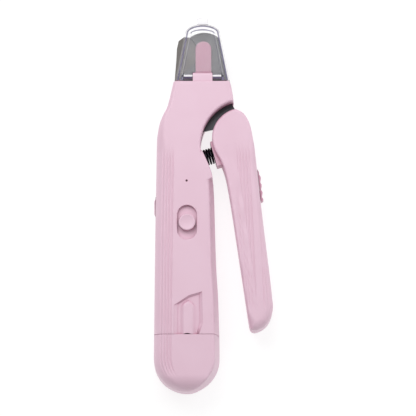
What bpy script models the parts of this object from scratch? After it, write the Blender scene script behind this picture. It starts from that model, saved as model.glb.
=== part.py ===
"""Plier-type nail clipper and motor nail grinder in one hand-held body.

It lies on its back: the flat back rests on Z = 0, the front faces +Z, the clipper head points to +Y and the
squeeze lever is on the +X side. The origin is on the back face, on the centre line of the body.
All sizes are in metres.
"""

import math

import bmesh
import bpy
from mathutils import Matrix, Vector

# Clearances and walls
GAP = 0.0003
WALL = 0.0020
CAP_WALL = 0.0020
COVER_WALL = 0.0016
COVER_FACE = 0.0012

# Body: depth, edge roundings and the two long edges as (y, x)
BODY_DEPTH = 0.0270
SHOULDER = 0.0060
EDGE = 0.0015
SIDE_DRAFT = 0.0022
SEAM_Y = -0.0688
HEAD_Y = 0.0637
LEFT_EDGE = [
    (SEAM_Y, -0.0168), (-0.0200, -0.0163), (0.0200, -0.0157), (0.0318, -0.0155), (0.0396, -0.0145),
    (0.0428, -0.0136), (0.0459, -0.0123), (0.0507, -0.0099), (0.0554, -0.0087), (HEAD_Y, -0.0068),
]
RIGHT_EDGE = [
    (SEAM_Y, 0.0170), (-0.0475, 0.0163), (-0.0350, 0.0155), (-0.0220, 0.0150), (0.0030, 0.0143),
    (0.0115, 0.0139), (0.0170, 0.0246), (0.0530, 0.0246), (0.0600, 0.0238), (HEAD_Y, 0.0229),
]

# Concave bite in the body's right side, round the head of the lever
BITE_CENTRE = (0.0316, 0.0302)
BITE_RADIUS = 0.0244
BITE_FOOT = [(0.0084, 0.0265), (0.0126, 0.0167), (0.01375, 0.0112), (0.0146, 0.0085)]

# End cap over the grinding drum
CAP_STRAIGHT = 0.0122
CAP_DOME = 0.0172
CAP_FACE_ROUND = 0.0080

# Lever: pivot, lean of its centre line, depth
PIVOT = (0.0239, 0.0392)
LEVER_LEAN = math.radians(8)
LEVER_DEPTH = 0.0200
LEVER_SETBACK = 0.0044
LEVER_HEAD = 0.0105
LEVER_EDGE = 0.0012
LEVER_RIGHT = [(0.0430, -0.0360), (0.0399, -0.0108), (0.0365, 0.0195), (0.0352, 0.0305)]

# Blades
BLADE = 0.0025
BLADE_LIFT = 0.0009
PIVOT_BOSS = 0.0075
PIVOT_PIN = 0.0025
NOTCH_CENTRE = (0.0064, 0.0790)
NOTCH_RADIUS = 0.0043
CATCH_LENGTH = 0.0300
CATCH_WIDTH = 0.0022

# Return spring between body and lever
SPRING_FACE = (0.0140, 0.0264)
SPRING_TILT = math.radians(16)
SPRING_RADIUS = 0.00435
SPRING_WIRE = 0.0010
SPRING_IN_BODY = 0.0092
SPRING_IN_LEVER = 0.0040
SPRING_TURNS = 5.5
POCKET_WALL = 0.0012

# Clear cover and its hinge
COVER_CENTRE = 0.0083
COVER_BASE = 0.0141
COVER_TOP = 0.0092
COVER_SHOULDER_Y = 0.0890
COVER_RISE = 0.0050
COVER_SETBACK = 0.0015
HINGE_Y = 0.0666
HINGE_DROP = 0.0006
HINGE_PIN = 0.0006
KNUCKLE = 0.0017
CENTRE_KNUCKLE = (0.0032, 0.0134)
SIDE_KNUCKLES = [(-0.0015, 0.0029), (0.0137, 0.0180)]

# Nail stop
STOP_CENTRE = (0.0087, 0.0816)
STOP_HALF_WIDTH = 0.0041
STOP_THICKNESS = 0.0020
STOP_CLEARANCE = 0.0016

# Speed switch in the front face
SLOT_CENTRE = (0.0002, -0.0106)
SLOT_WIDTH = 0.0100
SLOT_LENGTH = 0.0179
KNOB_RADIUS = 0.00435
KNOB_RISE = 0.0012
SWITCH_TRAVEL = 0.0040
SHUTTER = 0.0008
PINHOLE = (0.0, 0.0112)
PINHOLE_RADIUS = 0.0005

# Light button in the left edge
BUTTON_Y = -0.00135
BUTTON_LENGTH = 0.0094
BUTTON_HEIGHT = 0.0040
BUTTON_RISE = 0.0008
SEAL = 0.0008

# Lamp hump in its recess above the seam
RECESS_DEPTH = 0.0012
RECESS = [(-0.0107, -0.0562), (0.0011, -0.0497), (0.0074, -0.0473), (0.0079, -0.0631), (0.0058, -0.0700),
          (-0.0107, -0.0700)]
HUMP_X = -0.0017
HUMP_HALF_WIDTH = 0.0040
HUMP_RISE = 0.0013
HUMP_TOP_Y = -0.0525
LAMP_NOTCH = (-0.0005, 0.0040, 0.0008)

# Lamp in the head: its x, and its height over the fixed blade
HEAD_LAMP = (0.0170, 0.0036)

# Power and drive
CELL_RADIUS = 0.0070
CELL_X = -0.0003
CELL_Y = (-0.0340, 0.0160)
BOARD = 0.0016
BOARD_X = (-0.0080, 0.0066)
BOARD_Y = (-0.0300, 0.0160)
SWITCH_BODY = 0.0025
MOTOR_RADIUS = 0.0077
MOTOR_Y = (-0.0635, -0.0420)
SPINDLE_X = 0.0002
SHAFT_RADIUS = 0.0010
ARBOR_RADIUS = 0.0024
DRUM_RADIUS = 0.0045
DRUM_Y = (-0.0920, -0.0800)
SPIGOT_LENGTH = 0.0085
PLUG_LENGTH = 0.0040
SOCKET_Y = 0.0240
SOCKET_SIZE = (0.0089, 0.0032, 0.0066)

# Screws
SCREW = 0.0011
BOSS = 0.0024
SCREW_HEAD = 0.0023
HEAD_DEPTH = 0.0017
SINK = 0.0006
HOUSING_SCREWS = [(-0.0105, 0.0345), (0.0100, 0.0040), (-0.0113, -0.0450), (0.0110, -0.0450)]
LEVER_SCREWS = [(0.0250, 0.0050), (0.0560, 0.0005), (0.0940, 0.0015)]
BLADE_SCREWS = [(0.0000, 0.0530), (0.0130, 0.0520)]
TANG_SCREWS = [(0.0115, 0.0045), (0.0175, 0.0015)]

# Lock on the lever's outer edge, as distances along and across the lever from the pivot
LOCK_SPAN = (0.0200, 0.0392)
LOCK_RISE = 0.0012
LOCK_HEIGHT = 0.0080
LOCK_WAVES = 5
LOCK_STEM = (0.0335, 0.0385)
LOCK_TRAVEL = 0.0030
LOCK_TOOTH = 0.0012

# Levels that follow from the sizes above
SPLIT = BODY_DEPTH / 2
HALF_GAP = GAP / 2
FIXED_BACK = SPLIT + BLADE_LIFT
FIXED_FRONT = FIXED_BACK + BLADE
MOVING_FRONT = FIXED_BACK - GAP
MOVING_BACK = MOVING_FRONT - BLADE
LEVER_FRONT = BODY_DEPTH - LEVER_SETBACK
LEVER_BACK = LEVER_FRONT - LEVER_DEPTH
INNER_FRONT = BODY_DEPTH - WALL
SHUTTER_FRONT = INNER_FRONT - GAP
SHUTTER_BACK = SHUTTER_FRONT - SHUTTER
SWITCH_TOP = SHUTTER_BACK - 0.0013
BOARD_TOP = SWITCH_TOP - SWITCH_BODY - GAP
CELL_Z = WALL + GAP + CELL_RADIUS
COLLAR_END = SEAM_Y - SPIGOT_LENGTH
COVER_BACK = FIXED_FRONT + GAP
COVER_FRONT = BODY_DEPTH - COVER_SETBACK
HINGE_Z = COVER_FRONT - HINGE_DROP
STOP_BACK = FIXED_FRONT + STOP_CLEARANCE
HEAD_LAMP_Z = FIXED_FRONT + HEAD_LAMP[1]
OVER = 0.0010

PINK = (0.766, 0.527, 0.624)
PINK_DEEP = (0.610, 0.371, 0.478)
STEEL = (0.42, 0.42, 0.43)
DARK_STEEL = (0.16, 0.16, 0.165)
BLACK = (0.012, 0.012, 0.012)
DARK_GREY = (0.06, 0.055, 0.06)
CLEAR = (0.85, 0.86, 0.88)


# ---- Small geometry ---------------------------------------------------------


def arc(centre, radius, start, end, steps):
    """Points on a circular arc; angles in degrees, counter-clockwise from +X."""
    angles = [math.radians(start + (end - start) * i / steps) for i in range(steps + 1)]
    return [(centre[0] + radius * math.cos(a), centre[1] + radius * math.sin(a)) for a in angles]


def bend(a, b, c, steps):
    """Points on a quadratic curve from a to c that leaves and arrives heading for b."""
    points = []
    for i in range(steps + 1):
        t = i / steps
        points.append(tuple((1 - t) ** 2 * p + 2 * t * (1 - t) * q + t * t * r for p, q, r in zip(a, b, c)))
    return points


def distance_to(path, point, closed):
    """How far a point lies from a path's nearest edge."""
    edges = list(zip(path, path[1:] + path[:1])) if closed else list(zip(path, path[1:]))
    nearest = math.inf
    for a, b in edges:
        a, run = Vector(a), Vector(b) - Vector(a)
        share = min(1.0, max(0.0, (Vector(point) - a).dot(run) / max(run.length_squared, 1e-18)))
        nearest = min(nearest, (a + run * share - Vector(point)).length)
    return nearest


def offset(path, distance, closed=True):
    """Moves each point of a path to its left by the distance; points crowded out at corners are dropped."""
    count = len(path)
    moved = []
    for i, point in enumerate(path):
        before = Vector(path[i - 1]) if closed or i else None
        after = Vector(path[(i + 1) % count]) if closed or i < count - 1 else None
        here = Vector(point)
        pairs = [pair for pair in ((before, here), (here, after)) if None not in pair]
        ways = [(b - a).normalized() for a, b in pairs]
        normals = [Vector((-way.y, way.x)) for way in ways]
        middle = sum(normals, Vector((0, 0))).normalized()
        moved.append(tuple(here + middle * distance / middle.dot(normals[0])))
    kept = []
    for point in moved:
        crowded = kept and math.dist(point, kept[-1]) < abs(distance) * 0.15
        if not crowded and distance_to(path, point, closed) >= abs(distance) * 0.98:
            kept.append(point)
    return kept


def racetrack(length, width, steps=6):
    """A slot outline, its length along the second axis."""
    half = (length - width) / 2
    return arc((0, half), width / 2, 0, 180, steps) + arc((0, -half), width / 2, 180, 360, steps)


def along(edge, y):
    """The x of a (y, x) edge list at one y."""
    for (y0, x0), (y1, x1) in zip(edge, edge[1:]):
        if y <= y1:
            return x0 + (x1 - x0) * (y - y0) / (y1 - y0)
    return edge[-1][1]


def on_lever(s, t):
    """The (x, y) of a point s down the lever's centre line and t to its right."""
    sin, cos = math.sin(LEVER_LEAN), math.cos(LEVER_LEAN)
    return PIVOT[0] + s * sin + t * cos, PIVOT[1] - s * cos + t * sin


# ---- Solids -----------------------------------------------------------------


def prism(outline, low, high):
    """An outline in XY, extruded from low to high along Z."""
    bm = bmesh.new()
    face = bm.faces.new([bm.verts.new((x, y, low)) for x, y in outline])
    grown = bmesh.ops.extrude_face_region(bm, geom=[face])["geom"]
    top = [item for item in grown if isinstance(item, bmesh.types.BMVert)]
    bmesh.ops.translate(bm, verts=top, vec=(0, 0, high - low))
    bmesh.ops.recalc_face_normals(bm, faces=bm.faces)
    return bm


def box(low, high):
    """A box between two corners."""
    corners = [(low[0], low[1]), (high[0], low[1]), (high[0], high[1]), (low[0], high[1])]
    return prism(corners, low[2], high[2])


def turned(profile, steps=20):
    """A solid of revolution about Z from (radius, height) points, with its ends closed on the axis."""
    bm = bmesh.new()
    rim = [(0, profile[0][1])] + list(profile) + [(0, profile[-1][1])]
    verts = [bm.verts.new((r, 0, z)) for r, z in rim]
    edges = [bm.edges.new(pair) for pair in zip(verts, verts[1:])]
    bmesh.ops.spin(bm, geom=verts + edges, axis=(0, 0, 1), cent=(0, 0, 0), steps=steps, angle=math.tau)
    bmesh.ops.remove_doubles(bm, verts=bm.verts, dist=1e-6)
    bmesh.ops.recalc_face_normals(bm, faces=bm.faces)
    return bm


def ring(outer, inner, low, high, steps=20):
    """A plain tube about Z."""
    bm = bmesh.new()
    rim = [(inner, low), (outer, low), (outer, high), (inner, high)]
    verts = [bm.verts.new((r, 0, z)) for r, z in rim]
    edges = [bm.edges.new((verts[i], verts[(i + 1) % 4])) for i in range(4)]
    bmesh.ops.spin(bm, geom=verts + edges, axis=(0, 0, 1), cent=(0, 0, 0), steps=steps, angle=math.tau)
    bmesh.ops.remove_doubles(bm, verts=bm.verts, dist=1e-6)
    bmesh.ops.recalc_face_normals(bm, faces=bm.faces)
    return bm


def moved(bm, place=(0, 0, 0), turn=None):
    """The mesh turned, then moved to its place."""
    matrix = Matrix.Translation(place)
    if turn is not None:
        matrix = matrix @ turn
    bmesh.ops.transform(bm, matrix=matrix, verts=bm.verts)
    return bm


# Z turned to -Y, to +Y, to +X and to the spring's axis
DOWN_BODY = Matrix.Rotation(math.pi / 2, 4, "X")
UP_BODY = Matrix.Rotation(-math.pi / 2, 4, "X")
ACROSS = Matrix.Rotation(math.pi / 2, 4, "Y")
ALONG_SPRING = Matrix.Rotation(SPRING_TILT, 4, "Z") @ ACROSS


def loft(ribs):
    """A closed solid through ribs that have the same number of points, with flat ends."""
    bm = bmesh.new()
    rows = [[bm.verts.new(point) for point in rib] for rib in ribs]
    count = len(rows[0])
    for row, after in zip(rows, rows[1:]):
        for i in range(count):
            j = (i + 1) % count
            bm.faces.new((row[i], row[j], after[j], after[i]))
    bm.faces.new(rows[0])
    bm.faces.new(rows[-1])
    bmesh.ops.recalc_face_normals(bm, faces=bm.faces)
    return bm


def rib(y, left, right, depth, side, base, inset=0.0):
    """Half a cross-section at one y: from the split plane over the face and back.

    The left shoulder is a large round, the right side leans in by SIDE_DRAFT to a small round edge.
    depth is the height of the face over the split plane, and base where the half section starts.
    """
    left, right, depth = left + inset, right - inset, depth - inset
    shoulder = min(max(SHOULDER - inset, 0.0005), depth * 0.9, (right - left) * 0.42)
    edge = max(EDGE - inset / 2, 0.0005)
    lean = min(SIDE_DRAFT, (right - left) * 0.1)
    outline = [(left, base)]
    outline += arc((left + shoulder, depth - shoulder), shoulder, 180, 90, 5)
    outline += arc((right - lean - edge, depth - edge), edge, 90, 10, 3)
    outline += [(right, base)]
    return [(x, y, SPLIT + side * z) for x, z in outline]


def body_half(side, base, inset=0.0, low=SEAM_Y, high=HEAD_Y):
    """Half of the body from the seam to the head's end face."""
    rows = sorted({low, high} | {y for y, x in LEFT_EDGE + RIGHT_EDGE if low < y < high})
    return loft([rib(y, along(LEFT_EDGE, y), along(RIGHT_EDGE, y), SPLIT, side, base, inset) for y in rows])


def cap_rows(inset, start):
    """(y, left, right, half depth) down the end cap, whose end is an ellipse in front view."""
    left, right = LEFT_EDGE[0][1] + inset, RIGHT_EDGE[0][1] - inset
    middle, half = (left + right) / 2, (right - left) / 2
    dome, face_round = CAP_DOME - inset, CAP_FACE_ROUND
    rows = [(start, left, right, SPLIT - inset)]
    for angle in [math.radians(a) for a in (0, 15, 30, 43, 55, 66, 76, 84)]:
        y = SEAM_Y - CAP_STRAIGHT - dome * math.sin(angle)
        past = max(0.0, dome * math.sin(angle) - (dome - face_round)) / face_round
        depth = SPLIT - inset - face_round * (1 - math.sqrt(max(0.0, 1 - past * past)))
        rows.append((y, middle - half * math.cos(angle), middle + half * math.cos(angle), depth))
    return rows


def bite(grow):
    """The outline cut out of the body's right side, grown into the body by a distance."""
    round_part = arc(BITE_CENTRE, BITE_RADIUS, 107, 187, 14)
    path = offset(round_part + BITE_FOOT, -grow, closed=False)
    far = 0.060
    x, y = path[0]
    return [(far, path[-1][1]), (far, y + 0.004), (x + 0.004, y + 0.004)] + path


def lever_outline():
    """The lever in front view, counter-clockwise from the right of its round head."""
    head = arc(PIVOT, LEVER_HEAD, -12, 200, 22)
    neck = bend((0.0147, 0.0300), (0.0195, 0.0225), (0.0211, 0.0117), 5)
    inner = [(0.0233, -0.0014), (0.0279, -0.0320), (0.0324, -0.0625)]
    toe = bend((0.0326, -0.0638), (0.0332, -0.0668), (0.0362, -0.0662), 4)
    tip = bend((0.0362, -0.0662), (0.0440, -0.0640), (0.0449, -0.0535), 6)[1:]
    return head + neck + inner + toe + tip + LEVER_RIGHT


# ---- Objects ----------------------------------------------------------------


def material(name, colour, roughness, metallic):
    found = bpy.data.materials.get(name)
    if found:
        return found
    made = bpy.data.materials.new(name)
    made.use_nodes = True
    shader = made.node_tree.nodes["Principled BSDF"]
    shader.inputs["Base Color"].default_value = (*colour, 1.0)
    shader.inputs["Roughness"].default_value = roughness
    shader.inputs["Metallic"].default_value = metallic
    return made


FINISHES = {
    "pink_abs": (PINK, 0.40, 0.0),
    "deep_pink_abs": (PINK_DEEP, 0.42, 0.0),
    "bright_steel": (STEEL, 0.35, 1.0),
    "dark_steel": (DARK_STEEL, 0.45, 1.0),
    "black_parts": (BLACK, 0.40, 0.0),
    "dark_rubber": (DARK_GREY, 0.70, 0.0),
    "clear_plastic": (CLEAR, 0.08, 0.0),
    "green_board": ((0.03, 0.16, 0.07), 0.45, 0.0),
    "cell_sleeve": ((0.05, 0.12, 0.33), 0.35, 0.0),
    "grit": ((0.20, 0.19, 0.18), 0.90, 0.0),
    "lamp_epoxy": ((0.80, 0.82, 0.80), 0.15, 0.0),
}
groups = {}


def node(name, bm, finish, group, smooth_angle=35):
    """Makes a piece from a mesh in place; its origin is put on the axis of the group it moves with."""
    mesh = bpy.data.meshes.new(name)
    bm.to_mesh(mesh)
    bm.free()
    mesh.shade_smooth()
    mesh.set_sharp_from_angle(angle=math.radians(smooth_angle))
    obj = bpy.data.objects.new(name, mesh)
    bpy.context.scene.collection.objects.link(obj)
    colour, roughness, metallic = FINISHES[finish]
    mesh.materials.append(material(finish, colour, roughness, metallic))
    parent = groups[group]
    mesh.transform(Matrix.Translation(-parent.location))
    obj.parent = parent
    return obj


def helper(name, *solids):
    """A hidden block made of one or more solids, for a Boolean to add or to cut away."""
    whole = bmesh.new()
    for solid in solids:
        piece = bpy.data.meshes.new("piece")
        solid.to_mesh(piece)
        whole.from_mesh(piece)
        bpy.data.meshes.remove(piece)
    mesh = bpy.data.meshes.new(name)
    whole.to_mesh(mesh)
    whole.free()
    obj = bpy.data.objects.new("helper_" + name, mesh)
    obj.hide_render = True
    obj.display_type = "WIRE"
    bpy.context.scene.collection.objects.link(obj)
    return obj


def combine(obj, operation, other):
    step = obj.modifiers.new(other.name, "BOOLEAN")
    step.operation = operation
    step.object = other
    step.solver = "EXACT"
    step.use_self = True


def cut(obj, name, *solids):
    """Cuts solids out of an object in one Boolean."""
    combine(obj, "DIFFERENCE", helper(name, *solids))


def join(obj, name, *solids):
    combine(obj, "UNION", helper(name, *solids))


def axis_empty(name, place):
    empty = bpy.data.objects.new(name, None)
    empty.empty_display_size = 0.01
    empty.location = place
    bpy.context.scene.collection.objects.link(empty)
    groups[name] = empty


# ---- Screws -----------------------------------------------------------------


def screw(name, place, head_z, tip_z, group, head=SCREW_HEAD, finish="bright_steel"):
    """A pan-head screw that enters from the back, with a cross recess left to the finish."""
    x, y = place
    profile = [(head * 0.9, head_z), (head, head_z + HEAD_DEPTH * 0.35), (head, head_z + HEAD_DEPTH),
               (SCREW, head_z + HEAD_DEPTH), (SCREW, tip_z - SCREW), (SCREW * 0.4, tip_z)]
    return node(name, moved(turned(profile, 12), (x, y, 0)), finish, group)


def flush_screw(name, place, face_z, tip_z, group):
    """A countersunk screw whose flat head lies just under face_z; tip_z is above or below it."""
    way = 1 if tip_z > face_z else -1
    head_end = face_z + way * (BLADE * 0.5)
    profile = [(SCREW * 2, face_z + way * 0.0001), (SCREW, head_end), (SCREW, tip_z - way * SCREW),
               (SCREW * 0.4, tip_z)]
    if way < 0:
        profile.reverse()
    return node(name, moved(turned(profile, 12), (*place, 0)), "bright_steel", group)


def flush_hole(place, face_z, back_z):
    """The countersunk hole for a flush screw, through a plate from face_z to back_z."""
    way = 1 if back_z > face_z else -1
    profile = [(SCREW * 2 + GAP * 1.4, face_z - way * OVER), (SCREW * 2 + GAP * 1.4, face_z),
               (SCREW + GAP, face_z + way * (BLADE * 0.5 + GAP)), (SCREW + GAP, back_z + way * OVER)]
    if way < 0:
        profile.reverse()
    return moved(turned(profile, 12), (*place, 0))


def boss(place, low, high, radius=BOSS):
    return moved(turned([(radius, low), (radius, high)], 16), (*place, 0))


# ---- Body shells ------------------------------------------------------------


def blade_slots():
    """Cutters for where the blades leave the body: (fixed blade's, moving blade's with its sweep)."""
    fixed = prism(offset(fixed_blade_outline(False), -GAP), FIXED_BACK - GAP, FIXED_FRONT + GAP)
    sweep = [(-0.0120, 0.0600), (-0.0040, 0.0500), (0.0040, 0.0345), (0.0240, 0.0345), (0.0300, 0.0545),
             (0.0220, 0.0570), (0.0220, HEAD_Y + OVER), (-0.0120, HEAD_Y + OVER)]
    return fixed, prism(list(reversed(sweep)), MOVING_BACK - GAP, MOVING_FRONT + GAP)


def stop_slot():
    half = STOP_HALF_WIDTH + GAP
    return box((STOP_CENTRE[0] - half, HEAD_Y - 2 * WALL, STOP_BACK - GAP),
               (STOP_CENTRE[0] + half, HEAD_Y + OVER, STOP_BACK + STOP_THICKNESS + GAP))


def spring_bar(radius, start, end):
    """A round bar on the spring's axis, from start to end measured from the lever's spring face."""
    return moved(turned([(radius, start), (radius, end)], 20), (*SPRING_FACE, SPLIT), ALONG_SPRING)


def holes(places, low, high, radius=SCREW + GAP):
    return [boss(place, low, high, radius) for place in places]


def side_holes():
    """The light button's hole and the charge socket's mouth, through the left wall."""
    room = 2 * (2 * GAP + SEAL)
    button = prism(racetrack(BUTTON_LENGTH + room, BUTTON_HEIGHT + room), -0.002, WALL + 0.0015)
    mouth = prism(racetrack(SOCKET_SIZE[0] + 2 * GAP, SOCKET_SIZE[1] + 2 * GAP), -0.002, WALL + 0.0015)
    return (moved(button, (along(LEFT_EDGE, BUTTON_Y), BUTTON_Y, SPLIT), ACROSS),
            moved(mouth, (along(LEFT_EDGE, SOCKET_Y), SOCKET_Y, SPLIT), ACROSS))


def screw_well(places, low, top):
    """Rear bosses with a wide foot round the screw's head."""
    wide = SCREW_HEAD + GAP + POCKET_WALL / 2
    profile = [(wide, low + WALL / 2), (wide, low + 0.0040), (BOSS, low + 0.0040), (BOSS, top)]
    return [moved(turned(profile, 16), (*place, 0)) for place in places]


def lamp_notch():
    x, half, depth = LAMP_NOTCH
    curve = bend((x - half, SEAM_Y), (x, SEAM_Y + 2 * depth), (x + half, SEAM_Y), 8)
    outline = [(x + half, SEAM_Y - OVER), *reversed(curve), (x - half, SEAM_Y - OVER)]
    return prism(outline, INNER_FRONT - 0.0015, BODY_DEPTH + 0.003)


def front_shell():
    front = node("front_shell", body_half(1, HALF_GAP), "pink_abs", "housing", 30)
    cut(front, "lamp_recess", prism(RECESS, BODY_DEPTH - RECESS_DEPTH, BODY_DEPTH + 0.003))
    join(front, "front_details", lamp_hump(), hinge_lug())

    room = helper("front_room", body_half(1, -OVER, WALL, SEAM_Y - OVER, HEAD_Y - WALL))
    cut(room, "front_solids", prism(bite(WALL), -OVER, BODY_DEPTH + OVER), pocket_wall(),
        *holes(HOUSING_SCREWS, SPLIT + HALF_GAP, BODY_DEPTH - WALL / 2, BOSS),
        *holes(BLADE_SCREWS, FIXED_FRONT + GAP, BODY_DEPTH - WALL / 2, BOSS))
    combine(front, "DIFFERENCE", room)

    x, y = SLOT_CENTRE
    cut(front, "front_openings", prism(bite(0), -OVER, BODY_DEPTH + OVER), spring_pocket(), *blade_slots(),
        stop_slot(), *side_holes(), lamp_notch(), hinge_bore(), head_lamp_hole(),
        moved(prism(racetrack(SLOT_LENGTH, SLOT_WIDTH, 10), 0, 0.006), (x, y, INNER_FRONT - 0.003)),
        boss(PINHOLE, INNER_FRONT - OVER, BODY_DEPTH + OVER, PINHOLE_RADIUS),
        *holes(HOUSING_SCREWS, SPLIT - OVER, INNER_FRONT - 0.0015),
        *holes(BLADE_SCREWS, FIXED_FRONT - OVER, INNER_FRONT - 0.0015))


def rear_shell():
    rear = node("rear_shell", body_half(-1, HALF_GAP), "pink_abs", "housing", 30)
    room = helper("rear_room", body_half(-1, -OVER, WALL, SEAM_Y - OVER, HEAD_Y - WALL))
    cut(room, "rear_solids", prism(bite(WALL), -OVER, BODY_DEPTH + OVER), pocket_wall(),
        *screw_well(HOUSING_SCREWS, 0.0, SPLIT - HALF_GAP))
    combine(rear, "DIFFERENCE", room)
    cut(rear, "rear_openings", prism(bite(0), -OVER, BODY_DEPTH + OVER), spring_pocket(), blade_slots()[1],
        *side_holes(), *holes(HOUSING_SCREWS, -OVER, SINK + HEAD_DEPTH + GAP, SCREW_HEAD + GAP),
        *holes(HOUSING_SCREWS, 0.001, SPLIT + OVER))


def pocket_wall():
    return spring_bar(SPRING_RADIUS + GAP * 1.5 + POCKET_WALL, -SPRING_IN_BODY - GAP - POCKET_WALL, 0.002)


def spring_pocket():
    return spring_bar(SPRING_RADIUS + GAP * 1.5, -SPRING_IN_BODY - GAP, 0.004)


def lamp_hump():
    """A long round-topped ridge from the seam up, over the grinder lamp; its top end is a gable."""
    radius = (HUMP_HALF_WIDTH ** 2 + HUMP_RISE ** 2) / (2 * HUMP_RISE)
    floor = BODY_DEPTH - RECESS_DEPTH
    spread = math.degrees(math.asin(HUMP_HALF_WIDTH / radius))
    top = arc((HUMP_X, floor + HUMP_RISE - radius), radius, 90 - spread, 90 + spread, 8)
    low = floor - 0.0006
    outline = [(HUMP_X + HUMP_HALF_WIDTH, low)] + top + [(HUMP_X - HUMP_HALF_WIDTH, low)]
    near = [(x, SEAM_Y + 0.00002, z) for x, z in outline]
    far = [(x, HUMP_TOP_Y - 0.0030 * abs(x - HUMP_X) / HUMP_HALF_WIDTH, z) for x, z in outline]
    return loft([near, far])


def hinge_lug():
    """The centre knuckle and the block that carries it on the head's end face."""
    low, high = CENTRE_KNUCKLE
    foot_y, back_z = HEAD_Y - WALL / 2, HINGE_Z - KNUCKLE
    profile = [(foot_y, back_z - 0.0008), (HINGE_Y, back_z)]
    profile += arc((HINGE_Y, HINGE_Z), KNUCKLE, -75, 90, 8)
    profile += [(foot_y, HINGE_Z + KNUCKLE)]
    return loft([[(low, y, z) for y, z in profile], [(high, y, z) for y, z in profile]])


def hinge_bore():
    low, high = CENTRE_KNUCKLE[0] - OVER, CENTRE_KNUCKLE[1] + OVER
    bar = turned([(HINGE_PIN + GAP / 2, low), (HINGE_PIN + GAP / 2, high)], 12)
    return moved(bar, (0, HINGE_Y, HINGE_Z), ACROSS)


def head_lamp_hole():
    bar = turned([(0.0018, 0), (0.0018, 0.006)], 16)
    return moved(bar, (HEAD_LAMP[0], HEAD_Y - 0.004, HEAD_LAMP_Z), UP_BODY)


# ---- Blades and pivot -------------------------------------------------------


def fixed_blade_outline(with_catch=True):
    """The front plate: hook with its nail notch, root in the head, eye on the pivot, catch bar."""
    hook = [(0.0224, 0.0596), (0.0171, 0.0874)]
    hook += bend((0.0160, 0.0887), (0.0090, 0.0931), (0.0019, 0.0885), 8)
    hook += arc(NOTCH_CENTRE, NOTCH_RADIUS, 102, -115, 16)
    hook += [(-0.0031, 0.0683), (-0.0049, 0.0596), (-0.0049, 0.0500), (0.0010, 0.0450), (0.0090, 0.0385),
             (0.0134, 0.0396)]
    eye = arc(PIVOT, PIVOT_BOSS, 190, 255, 6)
    rest = arc(PIVOT, PIVOT_BOSS, 295, 400, 9) + [(0.0250, 0.0505), (0.0240, 0.0524)]
    if not with_catch:
        return hook + eye + rest
    lean = LEVER_LEAN / 2
    side, length = CATCH_WIDTH / 2, CATCH_LENGTH
    down, right = Vector((math.sin(lean), -math.cos(lean))), Vector((math.cos(lean), math.sin(lean)))
    eye = [p for p in eye if (Vector(p) - Vector(PIVOT)).dot(right) < -side - 0.0005]
    rest = [p for p in rest if p[1] > PIVOT[1] or (Vector(p) - Vector(PIVOT)).dot(right) > side + 0.0005]
    root = math.sqrt(PIVOT_BOSS ** 2 - side ** 2)
    bar = [(root, -side), (length, -side), (length, side), (root, side)]
    bar = [tuple(Vector(PIVOT) + down * s + right * t) for s, t in bar]
    return hook + eye + bar + rest


def blades():
    plate = prism(fixed_blade_outline(), FIXED_BACK, FIXED_FRONT)
    fixed = node("fixed_blade", plate, "bright_steel", "housing")
    cut(fixed, "fixed_holes", boss(PIVOT, 0, BODY_DEPTH, PIVOT_PIN + GAP),
        *[flush_hole(place, FIXED_BACK, FIXED_FRONT) for place in BLADE_SCREWS])
    for i, place in enumerate(BLADE_SCREWS):
        flush_screw(f"blade_screw_{i + 1}", place, FIXED_BACK, INNER_FRONT - 0.0030, "housing")

    cutter = [(0.0052, 0.0720), (0.0052, 0.0885), (-0.0015, 0.0890)]
    back = [(-0.0043, 0.0869), (-0.0052, 0.0827), (-0.0055, 0.0764), (-0.0061, 0.0690), (-0.0065, 0.0635),
            (-0.0052, 0.0600), (-0.0030, 0.0540), (0.0020, 0.0470), (0.0095, 0.0400), (0.0136, 0.0412)]
    eye = arc(PIVOT, PIVOT_BOSS, 180, 215, 4)
    tang = [(0.0080, -0.0036), (0.0215, -0.0036), (0.0215, 0.0066), (0.0060, 0.0066)]
    tang = [on_lever(s, t) for s, t in tang]
    right = arc(PIVOT, PIVOT_BOSS, 0, 65, 5) + [(0.0235, 0.0497), (0.0190, 0.0545), (0.0178, 0.0600),
                                                (0.0120, 0.0670)]
    moving = node("moving_blade", prism(cutter + back + eye + tang + right, MOVING_BACK, MOVING_FRONT),
                  "dark_steel", "lever")
    tang_places = [on_lever(s, t) for s, t in TANG_SCREWS]
    cut(moving, "moving_holes", boss(PIVOT, 0, BODY_DEPTH, PIVOT_PIN + GAP),
        *[flush_hole(place, MOVING_FRONT, MOVING_BACK) for place in tang_places])
    for i, place in enumerate(tang_places):
        flush_screw(f"tang_screw_{i + 1}", place, MOVING_FRONT, LEVER_BACK + WALL + 0.0010, "lever")

    head_low = FIXED_FRONT + GAP
    nut_top = MOVING_BACK - 3 * GAP - 0.0005
    tip = nut_top - 0.0027
    head = [(PIVOT_PIN, tip), (PIVOT_PIN, head_low), (0.0042, head_low), (0.0045, head_low + 0.0004),
            (0.0045, head_low + 0.0016), (0.0040, head_low + 0.0021)]
    bolt = node("pivot_bolt", moved(turned(head, 24), (*PIVOT, 0)), "bright_steel", "housing")
    cut(bolt, "bolt_slot", box((PIVOT[0] - 0.006, PIVOT[1] - 0.0006, head_low + 0.0012),
                               (PIVOT[0] + 0.006, PIVOT[1] + 0.0006, head_low + 0.003)))
    washer = ring(0.0044, PIVOT_PIN + GAP, MOVING_BACK - GAP - 0.0005, MOVING_BACK - GAP, 24)
    node("pivot_washer", moved(washer, (*PIVOT, 0)), "bright_steel", "housing")
    hexagon = prism(arc((0, 0), 0.0045, 0, 300, 5), nut_top - 0.0022, nut_top)
    nut = node("pivot_nut", moved(hexagon, (*PIVOT, 0)), "bright_steel", "housing")
    cut(nut, "nut_thread", boss(PIVOT, 0, BODY_DEPTH, PIVOT_PIN + GAP))


# ---- Lever ------------------------------------------------------------------


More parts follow.
